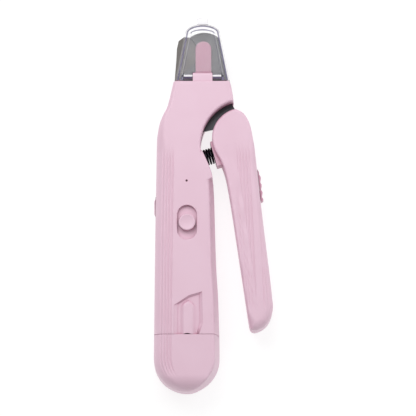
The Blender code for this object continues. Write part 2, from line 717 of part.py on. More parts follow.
def lever_half(side):
    """Half of the lever, rounded along the edge of its face."""
    face = LEVER_FRONT if side > 0 else LEVER_BACK
    base = SPLIT + side * HALF_GAP
    bm = prism(lever_outline(), min(face, base), max(face, base))
    rim = [e for e in bm.edges if all(abs(v.co.z - face) < 1e-6 for v in e.verts)]
    bmesh.ops.bevel(bm, geom=rim, offset=LEVER_EDGE, segments=3, profile=0.5, affect="EDGES")
    bmesh.ops.recalc_face_normals(bm, faces=bm.faces)
    return bm


def spring_seat(side, reach, low):
    """Half of the block that holds the spring's end; low is its start, as a height over the split."""
    half, height = 0.0066, SPRING_RADIUS + GAP * 1.5 + POCKET_WALL
    low, high = sorted((SPLIT + side * low, SPLIT + side * height))
    block = box((0, -half, low), (reach, half, high))
    return moved(block, (*SPRING_FACE, 0), Matrix.Rotation(SPRING_TILT, 4, "Z"))


def lever_shells():
    inner = offset(lever_outline(), WALL)
    pocket = spring_bar(SPRING_RADIUS + GAP * 1.5, -0.004, SPRING_IN_LEVER + GAP)
    sweep = arc(PIVOT, LEVER_HEAD + 0.002, 48, 204, 14) + arc(PIVOT, 0.004, 204, 48, 6)
    wall_reach = SPRING_IN_LEVER + GAP + POCKET_WALL
    blade_gate = prism(sweep, MOVING_BACK - GAP, FIXED_FRONT + GAP)
    places = [on_lever(s, t) for s, t in LEVER_SCREWS]
    tang_places = [on_lever(s, t) for s, t in TANG_SCREWS]

    front = node("lever_front_shell", lever_half(1), "pink_abs", "lever", 30)
    join(front, "front_seat", spring_seat(1, 0.0070, HALF_GAP))
    room = helper("lever_front_room", prism(inner, SPLIT - OVER, LEVER_FRONT - WALL))
    cut(room, "lever_front_solids", spring_seat(1, wall_reach, -2 * OVER),
        *holes(places[:1], FIXED_FRONT + GAP, LEVER_FRONT - WALL / 2, BOSS),
        *holes(places[1:], SPLIT + HALF_GAP, LEVER_FRONT - WALL / 2, BOSS))
    combine(front, "DIFFERENCE", room)
    low, high = LOCK_STEM[0] - LOCK_TRAVEL - GAP, LOCK_STEM[1] + GAP
    gate = [on_lever(s, t) for s, t in ((low, 0.006), (high, 0.006), (high, 0.013), (low, 0.013))]
    cut(front, "lever_front_openings", pocket, blade_gate, prism(gate, SPLIT - OVER, FIXED_FRONT + GAP),
        *holes(places, SPLIT - OVER, LEVER_FRONT - WALL - 0.0005))

    rear = node("lever_rear_shell", lever_half(-1), "pink_abs", "lever", 30)
    join(rear, "rear_seat", spring_seat(-1, 0.0070, HALF_GAP))
    room = helper("lever_rear_room", prism(inner, LEVER_BACK + WALL, SPLIT + OVER))
    cut(room, "lever_rear_solids", spring_seat(-1, wall_reach, -2 * OVER),
        *screw_well(places, LEVER_BACK, SPLIT - HALF_GAP),
        *holes(tang_places, LEVER_BACK + WALL / 2, MOVING_BACK - GAP, BOSS))
    combine(rear, "DIFFERENCE", room)
    cut(rear, "lever_rear_openings", pocket, blade_gate,
        *holes(places, LEVER_BACK - OVER, LEVER_BACK + SINK + HEAD_DEPTH + GAP, SCREW_HEAD + GAP),
        *holes(places, LEVER_BACK + 0.001, SPLIT + OVER),
        *holes(tang_places, LEVER_BACK + WALL, MOVING_BACK + OVER))
    for i, place in enumerate(places):
        screw(f"lever_screw_{i + 1}", place, LEVER_BACK + SINK, LEVER_FRONT - WALL - 0.0010, "lever")


def lock():
    """The serrated slide on the lever's outer edge, its stem through the wall, and the toothed bar inside."""
    top, bottom = LOCK_SPAN
    inner_top, inner_bottom = lever_right(top) + GAP, lever_right(bottom) + GAP
    lean = math.atan2(inner_bottom - inner_top, bottom - top)
    length = bottom - top
    crest = [(top + length * i / (LOCK_WAVES * 4), LOCK_RISE * (0.80 + 0.20 * math.cos(i * math.pi / 2)))
             for i in range(1, LOCK_WAVES * 4)]
    outline = [(top, inner_top)] + [(s, inner_top + (s - top) * math.tan(lean) + rise) for s, rise in crest]
    outline += [(bottom, inner_bottom)]
    outline = [on_lever(s, t) for s, t in reversed(outline)]
    button = node("lock_button", prism(outline, SPLIT - LOCK_HEIGHT / 2, SPLIT + LOCK_HEIGHT / 2),
                  "pink_abs", "lock")
    stem = [(LOCK_STEM[0], 0.0075), (LOCK_STEM[1], 0.0075), (LOCK_STEM[1], inner_bottom + LOCK_RISE / 3),
            (LOCK_STEM[0], inner_bottom + LOCK_RISE / 3)]
    join(button, "lock_stem", prism([on_lever(s, t) for s, t in stem], FIXED_BACK, FIXED_FRONT))
    half = LOCK_TOOTH / 2
    start = CATCH_LENGTH + 2 * GAP
    bar = [(start, -half), (LOCK_STEM[0], -half), (LOCK_STEM[1], -half), (LOCK_STEM[1], 0.0075 - GAP),
           (LOCK_STEM[0], 0.0075 - GAP), (LOCK_STEM[0], half), (start, half)]
    node("lock_bar", prism([on_lever(s, t) for s, t in bar], FIXED_BACK, FIXED_FRONT), "dark_steel", "lock")


def lever_right(s):
    """How far right of the lever's centre line its outer edge is, s down from the pivot."""
    sin, cos = math.sin(LEVER_LEAN), math.cos(LEVER_LEAN)
    edge = []
    for x, y in LEVER_RIGHT:
        dx, dy = x - PIVOT[0], y - PIVOT[1]
        edge.append((dx * sin - dy * cos, dx * cos + dy * sin))
    return along(sorted(edge), s)


def lever_spring():
    """A round-wire compression spring, its ends in the body's pocket and in the lever's seat."""
    length = SPRING_IN_BODY + SPRING_IN_LEVER - SPRING_WIRE
    coil_radius = SPRING_RADIUS - SPRING_WIRE / 2
    steps = int(SPRING_TURNS * 14)
    place = Matrix.Translation((*SPRING_FACE, SPLIT)) @ ALONG_SPRING
    curve = bpy.data.curves.new("lever_spring", "CURVE")
    curve.dimensions = "3D"
    curve.bevel_depth = SPRING_WIRE / 2
    curve.bevel_resolution = 1
    curve.use_fill_caps = True
    spline = curve.splines.new("POLY")
    spline.points.add(steps)
    for i, point in enumerate(spline.points):
        turn = math.tau * SPRING_TURNS * i / steps
        height = SPRING_WIRE / 2 - SPRING_IN_BODY + length * i / steps
        where = place @ Vector((coil_radius * math.cos(turn), coil_radius * math.sin(turn), height))
        point.co = (*where, 1.0)
    obj = bpy.data.objects.new("lever_spring", curve)
    colour, roughness, metallic = FINISHES["dark_steel"]
    curve.materials.append(material("dark_steel", colour, roughness, metallic))
    obj.parent = groups["housing"]
    bpy.context.scene.collection.objects.link(obj)


# ---- Cover, hinge and nail stop ---------------------------------------------


def cover_outline(inset, base):
    """The cover in front view: straight sides drawn in to a low elliptical dome."""
    top = arc((0, 0), 1.0, 0, 180, 12)
    half, rise = COVER_TOP - inset, COVER_RISE - inset
    dome = [(COVER_CENTRE + half * x, COVER_SHOULDER_Y + rise * y) for x, y in top]
    return [(COVER_CENTRE - COVER_BASE + inset, base), (COVER_CENTRE + COVER_BASE - inset, base)] + dome


def cover():
    base = HEAD_Y + 2 * GAP
    block = prism(cover_outline(0, base), COVER_BACK, COVER_FRONT)
    shell = node("clear_cover", block, "clear_plastic", "cover")
    tab_y = COVER_SHOULDER_Y + COVER_RISE
    tab = box((COVER_CENTRE - 0.0029, tab_y - 0.0012, COVER_FRONT - 0.0020),
              (COVER_CENTRE + 0.0029, tab_y + 0.0030, COVER_FRONT))
    join(shell, "cover_tab", tab)
    low, high = SIDE_KNUCKLES[0][0] - GAP, SIDE_KNUCKLES[1][1] + GAP
    cut(shell, "cover_room", prism(cover_outline(COVER_WALL, base - OVER), COVER_BACK - OVER,
                                   COVER_FRONT - COVER_FACE),
        box((low, base - OVER, COVER_BACK - OVER), (high, HINGE_Y + KNUCKLE + GAP, COVER_FRONT + OVER)))
    knuckles = []
    for left, right in SIDE_KNUCKLES:
        profile = arc((HINGE_Y, HINGE_Z), KNUCKLE, 90, 270, 8)
        reach = HINGE_Y + KNUCKLE + GAP + 0.0010
        profile += [(reach, COVER_FRONT - COVER_FACE), (reach, COVER_FRONT - 0.0002)]
        knuckles.append(loft([[(x, y, z) for y, z in profile] for x in (left, right)]))
    join(shell, "cover_knuckles", *knuckles)
    bar = turned([(HINGE_PIN + GAP / 2, low - OVER), (HINGE_PIN + GAP / 2, high + OVER)], 12)
    cut(shell, "cover_hinge_hole", moved(bar, (0, HINGE_Y, HINGE_Z), ACROSS))
    pin = turned([(HINGE_PIN, SIDE_KNUCKLES[0][0]), (HINGE_PIN, SIDE_KNUCKLES[1][1])], 12)
    node("cover_hinge_pin", moved(pin, (0, HINGE_Y, HINGE_Z), ACROSS), "bright_steel", "housing")


def nail_stop():
    x, y = STOP_CENTRE
    outline = arc(STOP_CENTRE, STOP_HALF_WIDTH, 0, 180, 12)
    foot = HEAD_Y - 0.0088
    outline += [(x - STOP_HALF_WIDTH, foot), (x + STOP_HALF_WIDTH, foot)]
    bm = prism(outline, STOP_BACK, STOP_BACK + STOP_THICKNESS)
    node("nail_stop", bm, "pink_abs", "housing")


# ---- Controls ---------------------------------------------------------------


def speed_switch():
    x, y = SLOT_CENTRE
    knob = [(KNOB_RADIUS, SHUTTER_FRONT + GAP), (KNOB_RADIUS, BODY_DEPTH + KNOB_RISE - 0.0006),
            (KNOB_RADIUS - 0.0006, BODY_DEPTH + KNOB_RISE)]
    node("switch_knob", moved(turned(knob, 32), (x, y, 0)), "pink_abs", "speed_switch")
    half_x = SLOT_WIDTH / 2 + 0.0006
    half_y = SLOT_LENGTH / 2 + SWITCH_TRAVEL + 0.0006
    shutter = node("switch_shutter", box((x - half_x, y - half_y, SHUTTER_BACK), (x + half_x, y + half_y,
                                                                                  SHUTTER_FRONT)),
                   "pink_abs", "speed_switch")
    peg = 0.0012
    join(shutter, "switch_peg", box((x - peg, y - peg, SWITCH_TOP - 0.0010),
                                    (x + peg, y + peg, SHUTTER_BACK + SHUTTER / 2)))
    low = BOARD_TOP + GAP
    body = node("switch_body", box((x - 0.0035, y - 0.0080, low), (x + 0.0035, y + 0.0080, SWITCH_TOP)),
                "black_parts", "housing")
    reach = SWITCH_TRAVEL + peg + 2 * GAP
    cut(body, "switch_groove", box((x - peg - GAP, y - reach, SWITCH_TOP - 0.0015),
                                   (x + peg + GAP, y + reach, SWITCH_TOP + OVER)))
    lens = turned([(0.0012, BOARD_TOP + GAP), (0.0012, INNER_FRONT - GAP)], 12)
    node("indicator_lens", moved(lens, (*PINHOLE, 0)), "lamp_epoxy", "housing")


def light_button():
    edge_x = along(LEFT_EDGE, BUTTON_Y)
    place = (edge_x, BUTTON_Y, SPLIT)
    cap = prism(racetrack(BUTTON_LENGTH, BUTTON_HEIGHT), -BUTTON_RISE, WALL + 0.0008)
    node("light_button", moved(cap, place, ACROSS), "deep_pink_abs", "light_key")
    outer = racetrack(BUTTON_LENGTH + 2 * (GAP + SEAL), BUTTON_HEIGHT + 2 * (GAP + SEAL))
    seal = moved(prism(outer, -0.0002, WALL - 0.0003), place, ACROSS)
    seal = node("light_button_seal", seal, "dark_rubber", "housing")
    inner = racetrack(BUTTON_LENGTH + 2 * GAP, BUTTON_HEIGHT + 2 * GAP)
    cut(seal, "seal_hole", moved(prism(inner, -OVER, WALL + OVER), place, ACROSS))
    start = edge_x + WALL + 0.0008 + 0.0009
    half = 0.0030
    body = box((start, BUTTON_Y - half, SPLIT - half), (start + half, BUTTON_Y + half, SPLIT + half))
    node("light_switch", body, "black_parts", "housing")


def charge_socket():
    length, height, depth = SOCKET_SIZE
    place = (along(LEFT_EDGE, SOCKET_Y) + 0.0006, SOCKET_Y, SPLIT)
    can = moved(prism(racetrack(length, height), 0, depth), place, ACROSS)
    can = node("charge_socket", can, "bright_steel", "housing")
    mouth = prism(racetrack(length - 0.0008, height - 0.0008), -OVER, depth - 0.0010)
    cut(can, "socket_mouth", moved(mouth, place, ACROSS))
    tongue = box((place[0] + 0.0012, SOCKET_Y - 0.0030, SPLIT - 0.0003), (place[0] + depth - 0.0005,
                                                                          SOCKET_Y + 0.0030, SPLIT + 0.0003))
    join(can, "socket_tongue", tongue)


# ---- Power and drive --------------------------------------------------------


def power():
    low, high = CELL_Y
    nub = 0.0012
    shoulder = high - low - nub
    profile = [(CELL_RADIUS, 0), (CELL_RADIUS, shoulder), (0.0028, shoulder), (0.0028, high - low)]
    node("battery_cell", moved(turned(profile, 24), (CELL_X, low, CELL_Z), UP_BODY), "cell_sleeve", "housing")
    board = box((BOARD_X[0], BOARD_Y[0], BOARD_TOP - BOARD), (BOARD_X[1], BOARD_Y[1], BOARD_TOP))
    node("circuit_board", board, "green_board", "housing")


def drive():
    axis = (SPINDLE_X, 0, SPLIT)
    low, high = MOTOR_Y
    bore = SHAFT_RADIUS + GAP
    can = ring(MOTOR_RADIUS, bore, -high, -low, 28)
    node("motor_can", moved(can, axis, DOWN_BODY), "bright_steel", "housing")
    bell = ring(MOTOR_RADIUS - 0.0004, bore, -high - GAP - 0.0035, -high - GAP, 28)
    node("motor_end_bell", moved(bell, axis, DOWN_BODY), "black_parts", "housing")

    plug_y = SEAM_Y + PLUG_LENGTH
    left, right = along(LEFT_EDGE, SEAM_Y), along(RIGHT_EDGE, SEAM_Y)
    half_ribs = []
    step = GAP / 2
    for y, wall in ((plug_y, WALL), (SEAM_Y + step, WALL), (SEAM_Y - step, CAP_WALL), (COLLAR_END, CAP_WALL)):
        upper = rib(y, left, right, SPLIT, 1, 0, wall + GAP)
        lower = rib(y, left, right, SPLIT, -1, 0, wall + GAP)
        half_ribs.append(upper + lower[-2:0:-1])
    collar = node("grinder_collar", loft(half_ribs), "dark_rubber", "housing")
    throat = ARBOR_RADIUS + 0.0018
    room = turned([(0.0062, -plug_y - OVER), (0.0062, -plug_y + 0.0015), (throat, -plug_y + 0.0015),
                   (throat, -COLLAR_END + OVER)], 24)
    lamp_z = INNER_FRONT - 0.0037
    lamp_hole = turned([(0.0018, -plug_y - OVER), (0.0018, -COLLAR_END + OVER)], 16)
    cut(collar, "collar_bores", moved(room, axis, DOWN_BODY), moved(lamp_hole, (LAMP_NOTCH[0], 0, lamp_z),
                                                                     DOWN_BODY))
    lamp = turned([(0.0015, -plug_y), (0.0015, -COLLAR_END - 0.0016), (0.0012, -COLLAR_END - 0.0006),
                   (0.0006, -COLLAR_END - 0.0001)], 16)
    node("grinder_lamp", moved(lamp, (LAMP_NOTCH[0], 0, lamp_z), DOWN_BODY), "lamp_epoxy", "housing")

    base, tip = -DRUM_Y[1], -DRUM_Y[0]
    shaft = turned([(SHAFT_RADIUS, -high - 0.0030), (SHAFT_RADIUS, base - 0.0032)], 12)
    node("motor_shaft", moved(shaft, axis, DOWN_BODY), "bright_steel", "spindle")
    hub, flange = ARBOR_RADIUS + 0.0006, DRUM_RADIUS - 0.0004
    arbor = [(hub, -SEAM_Y), (hub, base - 0.0018), (flange, base - 0.0018), (flange, base - GAP),
             (ARBOR_RADIUS, base - GAP), (ARBOR_RADIUS, tip + 0.0010), (ARBOR_RADIUS - 0.0004, tip + 0.0014)]
    arbor = node("drum_arbor", moved(turned(arbor, 24), axis, DOWN_BODY), "bright_steel", "spindle")
    socket = turned([(bore, -SEAM_Y - OVER), (bore, base - 0.0029)], 12)
    cut(arbor, "arbor_socket", moved(socket, axis, DOWN_BODY))
    drum = ring(DRUM_RADIUS, ARBOR_RADIUS + GAP, base, tip, 32)
    node("grinding_drum", moved(drum, axis, DOWN_BODY), "grit", "spindle")
    lamp = turned([(0.0015, 0), (0.0015, 0.0045), (0.0010, 0.0056), (0.0004, 0.0060)], 16)
    lamp = moved(lamp, (HEAD_LAMP[0], HEAD_Y - 0.0062, HEAD_LAMP_Z), UP_BODY)
    node("head_lamp", lamp, "lamp_epoxy", "housing")


def end_cap():
    outer, inner = [], []
    for rows, ribs, inset in ((cap_rows(0, SEAM_Y - GAP), outer, 0.0),
                              (cap_rows(CAP_WALL, SEAM_Y + OVER), inner, CAP_WALL)):
        for y, left, right, depth in rows:
            upper = rib(y, left - inset, right + inset, depth + inset, 1, 0, inset)
            lower = rib(y, left - inset, right + inset, depth + inset, -1, 0, inset)
            ribs.append(upper + lower[-2:0:-1])
    cap = node("end_cap", loft(outer), "pink_abs", "cap", 30)
    cut(cap, "cap_room", loft(inner))


# ---- Assembly ---------------------------------------------------------------


def main():
    for obj in list(bpy.data.objects):
        bpy.data.objects.remove(obj, do_unlink=True)
    axis_empty("housing", (0, 0, 0))
    axis_empty("lever", (*PIVOT, SPLIT))
    axis_empty("cover", (COVER_CENTRE, HINGE_Y, HINGE_Z))
    axis_empty("speed_switch", (*SLOT_CENTRE, SHUTTER_FRONT))
    axis_empty("light_key", (along(LEFT_EDGE, BUTTON_Y), BUTTON_Y, SPLIT))
    axis_empty("lock", (*on_lever(*LOCK_STEM), SPLIT))
    axis_empty("cap", (SPINDLE_X, SEAM_Y, SPLIT))
    axis_empty("spindle", (SPINDLE_X, SEAM_Y, SPLIT))
    bpy.context.view_layer.update()

    front_shell()
    rear_shell()
    for i, place in enumerate(HOUSING_SCREWS):
        screw(f"housing_screw_{i + 1}", place, SINK, INNER_FRONT - 0.0030, "housing")
    blades()
    lever_shells()
    lock()
    lever_spring()
    cover()
    nail_stop()
    speed_switch()
    light_button()
    charge_socket()
    power()
    drive()
    end_cap()


main()
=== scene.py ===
"""Looks of the plier-type nail clipper and motor nail grinder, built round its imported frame.

It lies on its back: the flat back rests on Z = 0, the front faces +Z, the clipper head points to +Y and the
squeeze lever is on the +X side. All sizes are in metres.
"""

import math
from contextlib import contextmanager

import bpy
import numpy as np
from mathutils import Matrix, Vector


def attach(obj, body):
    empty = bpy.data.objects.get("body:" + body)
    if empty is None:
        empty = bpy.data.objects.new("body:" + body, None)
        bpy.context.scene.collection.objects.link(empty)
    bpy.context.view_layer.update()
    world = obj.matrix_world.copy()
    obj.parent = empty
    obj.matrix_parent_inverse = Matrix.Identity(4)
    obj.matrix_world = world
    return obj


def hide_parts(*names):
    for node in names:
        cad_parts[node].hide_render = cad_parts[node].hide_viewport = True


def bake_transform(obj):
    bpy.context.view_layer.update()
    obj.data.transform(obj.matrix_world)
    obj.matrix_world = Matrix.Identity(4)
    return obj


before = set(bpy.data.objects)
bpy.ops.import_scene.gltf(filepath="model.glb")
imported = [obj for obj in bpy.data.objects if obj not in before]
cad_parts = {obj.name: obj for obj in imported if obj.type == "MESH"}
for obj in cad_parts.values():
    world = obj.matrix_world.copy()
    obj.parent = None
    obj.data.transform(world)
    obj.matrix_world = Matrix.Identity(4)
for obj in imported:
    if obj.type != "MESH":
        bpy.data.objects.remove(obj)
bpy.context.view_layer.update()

# ---- Sizes, as in the part -------------------------------------------------

GAP = 0.0003
HALF_GAP = GAP / 2
WALL = 0.0020
OVER = 0.0010
CHAMFER = 0.0002
BODY_DEPTH = 0.0270
SPLIT = BODY_DEPTH / 2
INNER_FRONT = BODY_DEPTH - WALL
SHOULDER = 0.0060
HEAD_SHOULDER = 0.0022
EDGE = 0.0015
SIDE_DRAFT = 0.0022
SEAM_ROUND = 0.00015
HEAD_ROUND = 0.0006
# Where up the body the shoulder shrinks to the head's, the side draft fades and the flutes run out
SHOULDER_BLEND = (0.024, 0.050)
DRAFT_FADE = (0.020, 0.045)
FLUTE_FADE = (0.031, 0.022)
SEAM_Y = -0.0688
HEAD_Y = 0.0637
LEFT_EDGE = [
    (SEAM_Y, -0.0168), (-0.0200, -0.0163), (0.0200, -0.0157), (0.0318, -0.0155), (0.0396, -0.0145),
    (0.0428, -0.0136), (0.0459, -0.0123), (0.0507, -0.0099), (0.0554, -0.0087), (HEAD_Y, -0.0068),
]
RIGHT_EDGE = [
    (SEAM_Y, 0.0170), (-0.0475, 0.0163), (-0.0350, 0.0155), (-0.0220, 0.0150), (0.0030, 0.0143),
    (0.0115, 0.0139), (0.0170, 0.0246), (0.0530, 0.0246), (0.0600, 0.0238), (HEAD_Y, 0.0229),
]
BITE_CENTRE = (0.0316, 0.0302)
BITE_RADIUS = 0.0244
BITE_FOOT = [(0.0084, 0.0265), (0.0126, 0.0167), (0.01375, 0.0112), (0.0146, 0.0085)]
BITE_RIM = 0.0010

# Grip flutes: where the first groove starts from the edge, pitch, depth, how many
FLUTE_START = 0.0029
FLUTE_PITCH = 0.0016
FLUTE_DEPTH = 0.00033
FLUTES = 4
LEVER_FLUTES = (0.0015, 5)

CAP_WALL = 0.0020
CAP_STRAIGHT = 0.0122
CAP_DOME = 0.0172
CAP_FACE_ROUND = 0.0080
CAP_BULGE = 0.0001
CAP_BULGE_REACH = 0.024
CAP_SEAM_GAP = 0.00012

PIVOT = (0.0239, 0.0392)
LEAN = math.radians(8)
LEVER_FRONT = 0.0226
LEVER_BACK = 0.0026
LEVER_HEAD = 0.0105
LEVER_RIGHT = [(0.0430, -0.0360), (0.0399, -0.0108), (0.0365, 0.0195), (0.0352, 0.0305)]
PIVOT_BOSS = 0.0075
PIVOT_PIN = 0.0025

BLADE = 0.0025
FIXED_BACK = SPLIT + 0.0009
FIXED_FRONT = FIXED_BACK + BLADE
MOVING_FRONT = FIXED_BACK - GAP
MOVING_BACK = MOVING_FRONT - BLADE
NOTCH_CENTRE = (0.0064, 0.0790)
NOTCH_RADIUS = 0.0043

SPRING_FACE = (0.0140, 0.0264)
SPRING_TILT = math.radians(16)
SPRING_RADIUS = 0.00435
SPRING_WIRE = 0.0010
SPRING_IN_BODY = 0.0092
SPRING_IN_LEVER = 0.0040
SPRING_TURNS = 9.0
POCKET_WALL = 0.0012
POCKET_RADIUS = SPRING_RADIUS + GAP * 1.5
SEAT_HALF_WIDTH = 0.0066
SEAT_REACH = 0.0070

COVER_CENTRE = 0.0083
COVER_BASE = 0.0141
COVER_TOP = 0.0092
COVER_SHOULDER_Y = 0.0890
COVER_RISE = 0.0050
COVER_WALL = 0.0016
COVER_FACE = 0.0012
COVER_BACK = FIXED_FRONT + GAP
COVER_FRONT = BODY_DEPTH - 0.0015
COVER_RIM = 0.0005
# Across the cover's face from its rim: (inset, drop) of a groove painted dark, a band painted white and a fine line
# painted dark, standing in for the light its thick wall turns
COVER_BANDS = [(0.0008, 0), (0.0010, 0.0003), (0.0014, 0.0003), (0.0016, 0), (0.0028, 0), (0.0029, 0.0001),
               (0.0034, 0.0001), (0.0035, 0)]
TAB_HALF_WIDTH = 0.0029
TAB_LENGTH = 0.0030
HINGE_Y = 0.0666
HINGE_Z = COVER_FRONT - 0.0006
HINGE_PIN = 0.0006
KNUCKLE = 0.0017
CENTRE_KNUCKLE = (0.0032, 0.0134)
SIDE_KNUCKLES = [(-0.0015, 0.0029), (0.0137, 0.0180)]

STOP_CENTRE = (0.0087, 0.0816)
STOP_HALF_WIDTH = 0.0041
STOP_BACK = FIXED_FRONT + 0.0016
STOP_FRONT = STOP_BACK + 0.0020

SLOT_CENTRE = (0.0002, -0.0106)
SLOT_WIDTH = 0.0100
SLOT_LENGTH = 0.0179
KNOB_RADIUS = 0.00435
KNOB_TOP = BODY_DEPTH + 0.0012
SHUTTER_FRONT = INNER_FRONT - GAP
PINHOLE = (0.0, 0.0112)

BUTTON_Y = -0.00135
BUTTON_LENGTH = 0.0094
BUTTON_HEIGHT = 0.0040
BUTTON_RISE = 0.0008
SEAL = 0.0008
SOCKET_Y = 0.0240
SOCKET_SIZE = (0.0089, 0.0032)

RECESS_DEPTH = 0.0012
RECESS = [(-0.0066, -0.0538), (0.0012, -0.0487), (0.0080, -0.0467), (0.0084, -0.0631), (0.0062, -0.0700),
          (-0.0066, -0.0700)]
RECESS_FLOOR = [(-0.0044, -0.0531), (0.0012, -0.0498), (0.0066, -0.0480), (0.0068, -0.0628), (0.0048, -0.0700),
                (-0.0044, -0.0700)]
HUMP_X = 0.0008
HUMP_HALF_WIDTH = 0.0044
HUMP_FLAT = 0.0018
HUMP_RISE = 0.0010
HUMP_TOP_Y = -0.0508
LAMP_NOTCH = (0.0004, 0.0020, 0.0005)
HEAD_LAMP = (0.0170, FIXED_FRONT + 0.0036)

SCREW = 0.0011
SCREW_HEAD = 0.0023
HEAD_DEPTH = 0.0017
SINK = 0.0006
BOSS = 0.0024
BORE_END = INNER_FRONT - 0.0015
HOUSING_SCREWS = [(-0.0105, 0.0345), (0.0100, 0.0040), (-0.0113, -0.0450), (0.0110, -0.0450)]
LEVER_SCREWS = [(0.0250, 0.0050), (0.0560, 0.0005), (0.0940, 0.0015)]
BLADE_SCREWS = [(0.0000, 0.0530), (0.0130, 0.0520)]
TANG_SCREWS = [(0.0115, 0.0045), (0.0175, 0.0015)]

LOCK_SPAN = (0.0220, 0.0392)
LOCK_RISE = 0.0012
LOCK_HEIGHT = 0.0080
LOCK_STEM = (0.0335, 0.0385)

RIGHT_ANGLE = math.pi / 2
ACROSS = (0, RIGHT_ANGLE, 0)
UP_BODY = (-RIGHT_ANGLE, 0, 0)
ALONG_SPRING = (0, RIGHT_ANGLE, SPRING_TILT)

# ---- Camera, first ---------------------------------------------------------

view = bpy.data.objects.new("camera", bpy.data.cameras.new("camera"))
bpy.context.scene.collection.objects.link(view)
view.location = (0.0111, -0.3353, 2.3901)
view.rotation_euler = (math.radians(8), 0, 0)
view.data.lens = 398.4
view.data.sensor_width = 36
bpy.context.scene.camera = view


# ---- Lines and outlines ----------------------------------------------------


def arc(centre, radius, start, end, steps):
    """Points on a circular arc; angles in degrees, counter-clockwise from +X."""
    angles = [math.radians(start + (end - start) * i / steps) for i in range(steps + 1)]
    return [(centre[0] + radius * math.cos(a), centre[1] + radius * math.sin(a)) for a in angles]


def bend(a, b, c, steps):
    """Points on a quadratic curve from a to c that leaves and arrives heading for b."""
    points = []
    for i in range(steps + 1):
        t = i / steps
        points.append(tuple((1 - t) ** 2 * p + 2 * t * (1 - t) * q + t * t * r for p, q, r in zip(a, b, c)))
    return points


def through(points, steps):
    """A smooth curve through all the points."""
    ends = [points[0], *points, points[-1]]
    curve = []
    for a, b, c, d in zip(ends, ends[1:], ends[2:], ends[3:]):
        for i in range(steps):
            t = i / steps
            curve.append(tuple(
                q + 0.5 * t * (r - p + t * (2 * p - 5 * q + 4 * r - s + t * (3 * (q - r) + s - p)))
                for p, q, r, s in zip(a, b, c, d)))
    return curve + [points[-1]]


def offset(path, distance, closed=True):
    """Moves each point of a path to its left by the distance."""
    count = len(path)
    moved = []
    for i, point in enumerate(path):
        before = Vector(path[i - 1]) if closed or i else None
        after = Vector(path[(i + 1) % count]) if closed or i < count - 1 else None
        here = Vector(point)
        ways = [(b - a).normalized() for a, b in ((before, here), (here, after)) if None not in (a, b)]
        normals = [Vector((-way.y, way.x)) for way in ways]
        middle = sum(normals, Vector((0, 0))).normalized()
        moved.append(tuple(here + middle * distance / max(middle.dot(normals[0]), 0.5)))
    return moved


def quarter(radius, steps):
    """(inset, drop) pairs round a quarter circle, from the side to the face."""
    angles = [RIGHT_ANGLE * i / steps for i in range(steps + 1)]
    return [(radius * (1 - math.cos(a)), radius * (1 - math.sin(a))) for a in angles]


def racetrack(length, width, steps=12):
    """A slot outline, its length along the second axis."""
    half = (length - width) / 2
    return arc((0, half), width / 2, 0, 180, steps) + arc((0, -half), width / 2, 180, 360, steps)


def shifted(outline, place):
    return [(x + place[0], y + place[1]) for x, y in outline]


def along(edge, y):
    """The x of a (y, x) edge list at one y, on a smooth curve that doesn't overshoot its points."""
    slopes = [(b[1] - a[1]) / (b[0] - a[0]) for a, b in zip(edge, edge[1:])]
    ways = [slopes[0]]
    for before, after in zip(slopes, slopes[1:]):
        ways.append(2 * before * after / (before + after) if before * after > 0 else 0.0)
    ways.append(slopes[-1])
    for i, ((y0, x0), (y1, x1)) in enumerate(zip(edge, edge[1:])):
        if y <= y1 or i == len(edge) - 2:
            run = y1 - y0
            t = min(max((y - y0) / run, 0.0), 1.0)
            return (x0 * (1 + 2 * t) * (1 - t) ** 2 + x1 * t * t * (3 - 2 * t)
                    + run * (ways[i] * t * (1 - t) ** 2 - ways[i + 1] * t * t * (1 - t)))


def ease(value, low, high):
    """0 at low, 1 at high, smooth between; low may be above high."""
    t = min(max((value - low) / (high - low), 0.0), 1.0)
    return t * t * (3 - 2 * t)


def on_lever(s, t):
    """The (x, y) of a point s down the lever's centre line and t to its right."""
    sin, cos = math.sin(LEAN), math.cos(LEAN)
    return PIVOT[0] + s * sin + t * cos, PIVOT[1] - s * cos + t * sin


def off_lever(x, y):
    """The (s, t) of a point, as on_lever takes them."""
    sin, cos = math.sin(LEAN), math.cos(LEAN)
    return (x - PIVOT[0]) * sin - (y - PIVOT[1]) * cos, (x - PIVOT[0]) * cos + (y - PIVOT[1]) * sin


# ---- Modelling -------------------------------------------------------------


def select_only(*objects):
    bpy.ops.object.select_all(action="DESELECT")
    for obj in objects:
        obj.select_set(True)
    bpy.context.view_layer.objects.active = objects[0]


@contextmanager
def edit_mode():
    """Edit mode with the whole mesh selected."""
    bpy.ops.object.mode_set(mode="EDIT")
    bpy.ops.mesh.select_all(action="SELECT")
    yield
    bpy.ops.object.mode_set(mode="OBJECT")


def face_outwards(obj):
    """Points every face of a closed skin away from its inside."""
    with edit_mode():
        bpy.ops.mesh.normals_make_consistent(inside=False)
    obj.data.calc_loop_triangles()
    points = [v.co for v in obj.data.vertices]
    corners = [[points[i] for i in face.vertices] for face in obj.data.loop_triangles]
    if sum(a.dot(b.cross(c)) for a, b, c in corners) < 0:
        with edit_mode():
            bpy.ops.mesh.flip_normals()
    return obj


def rolled(name, rings):
    """A grid rolled into a closed skin through rings that have the same number of points."""
    rows = [[*ring, ring[0]] for ring in rings]
    bpy.ops.object.select_all(action="DESELECT")
    bpy.ops.mesh.primitive_grid_add(x_subdivisions=len(rows[0]) - 1, y_subdivisions=len(rows) - 1)
    skin = bpy.context.object
    skin.name = name
    skin.data.vertices.foreach_set("co", [c for row in rows for point in row for c in point])
    with edit_mode():
        bpy.ops.mesh.remove_doubles(threshold=1e-6)
        bpy.ops.mesh.select_all(action="SELECT")
        bpy.ops.mesh.fill_holes(sides=0)
    return face_outwards(skin)


def stacked(name, *layers):
    """A solid through outlines in XY at rising heights."""
    return rolled(name, [[(x, y, z) for x, y in outline] for outline, z in layers])


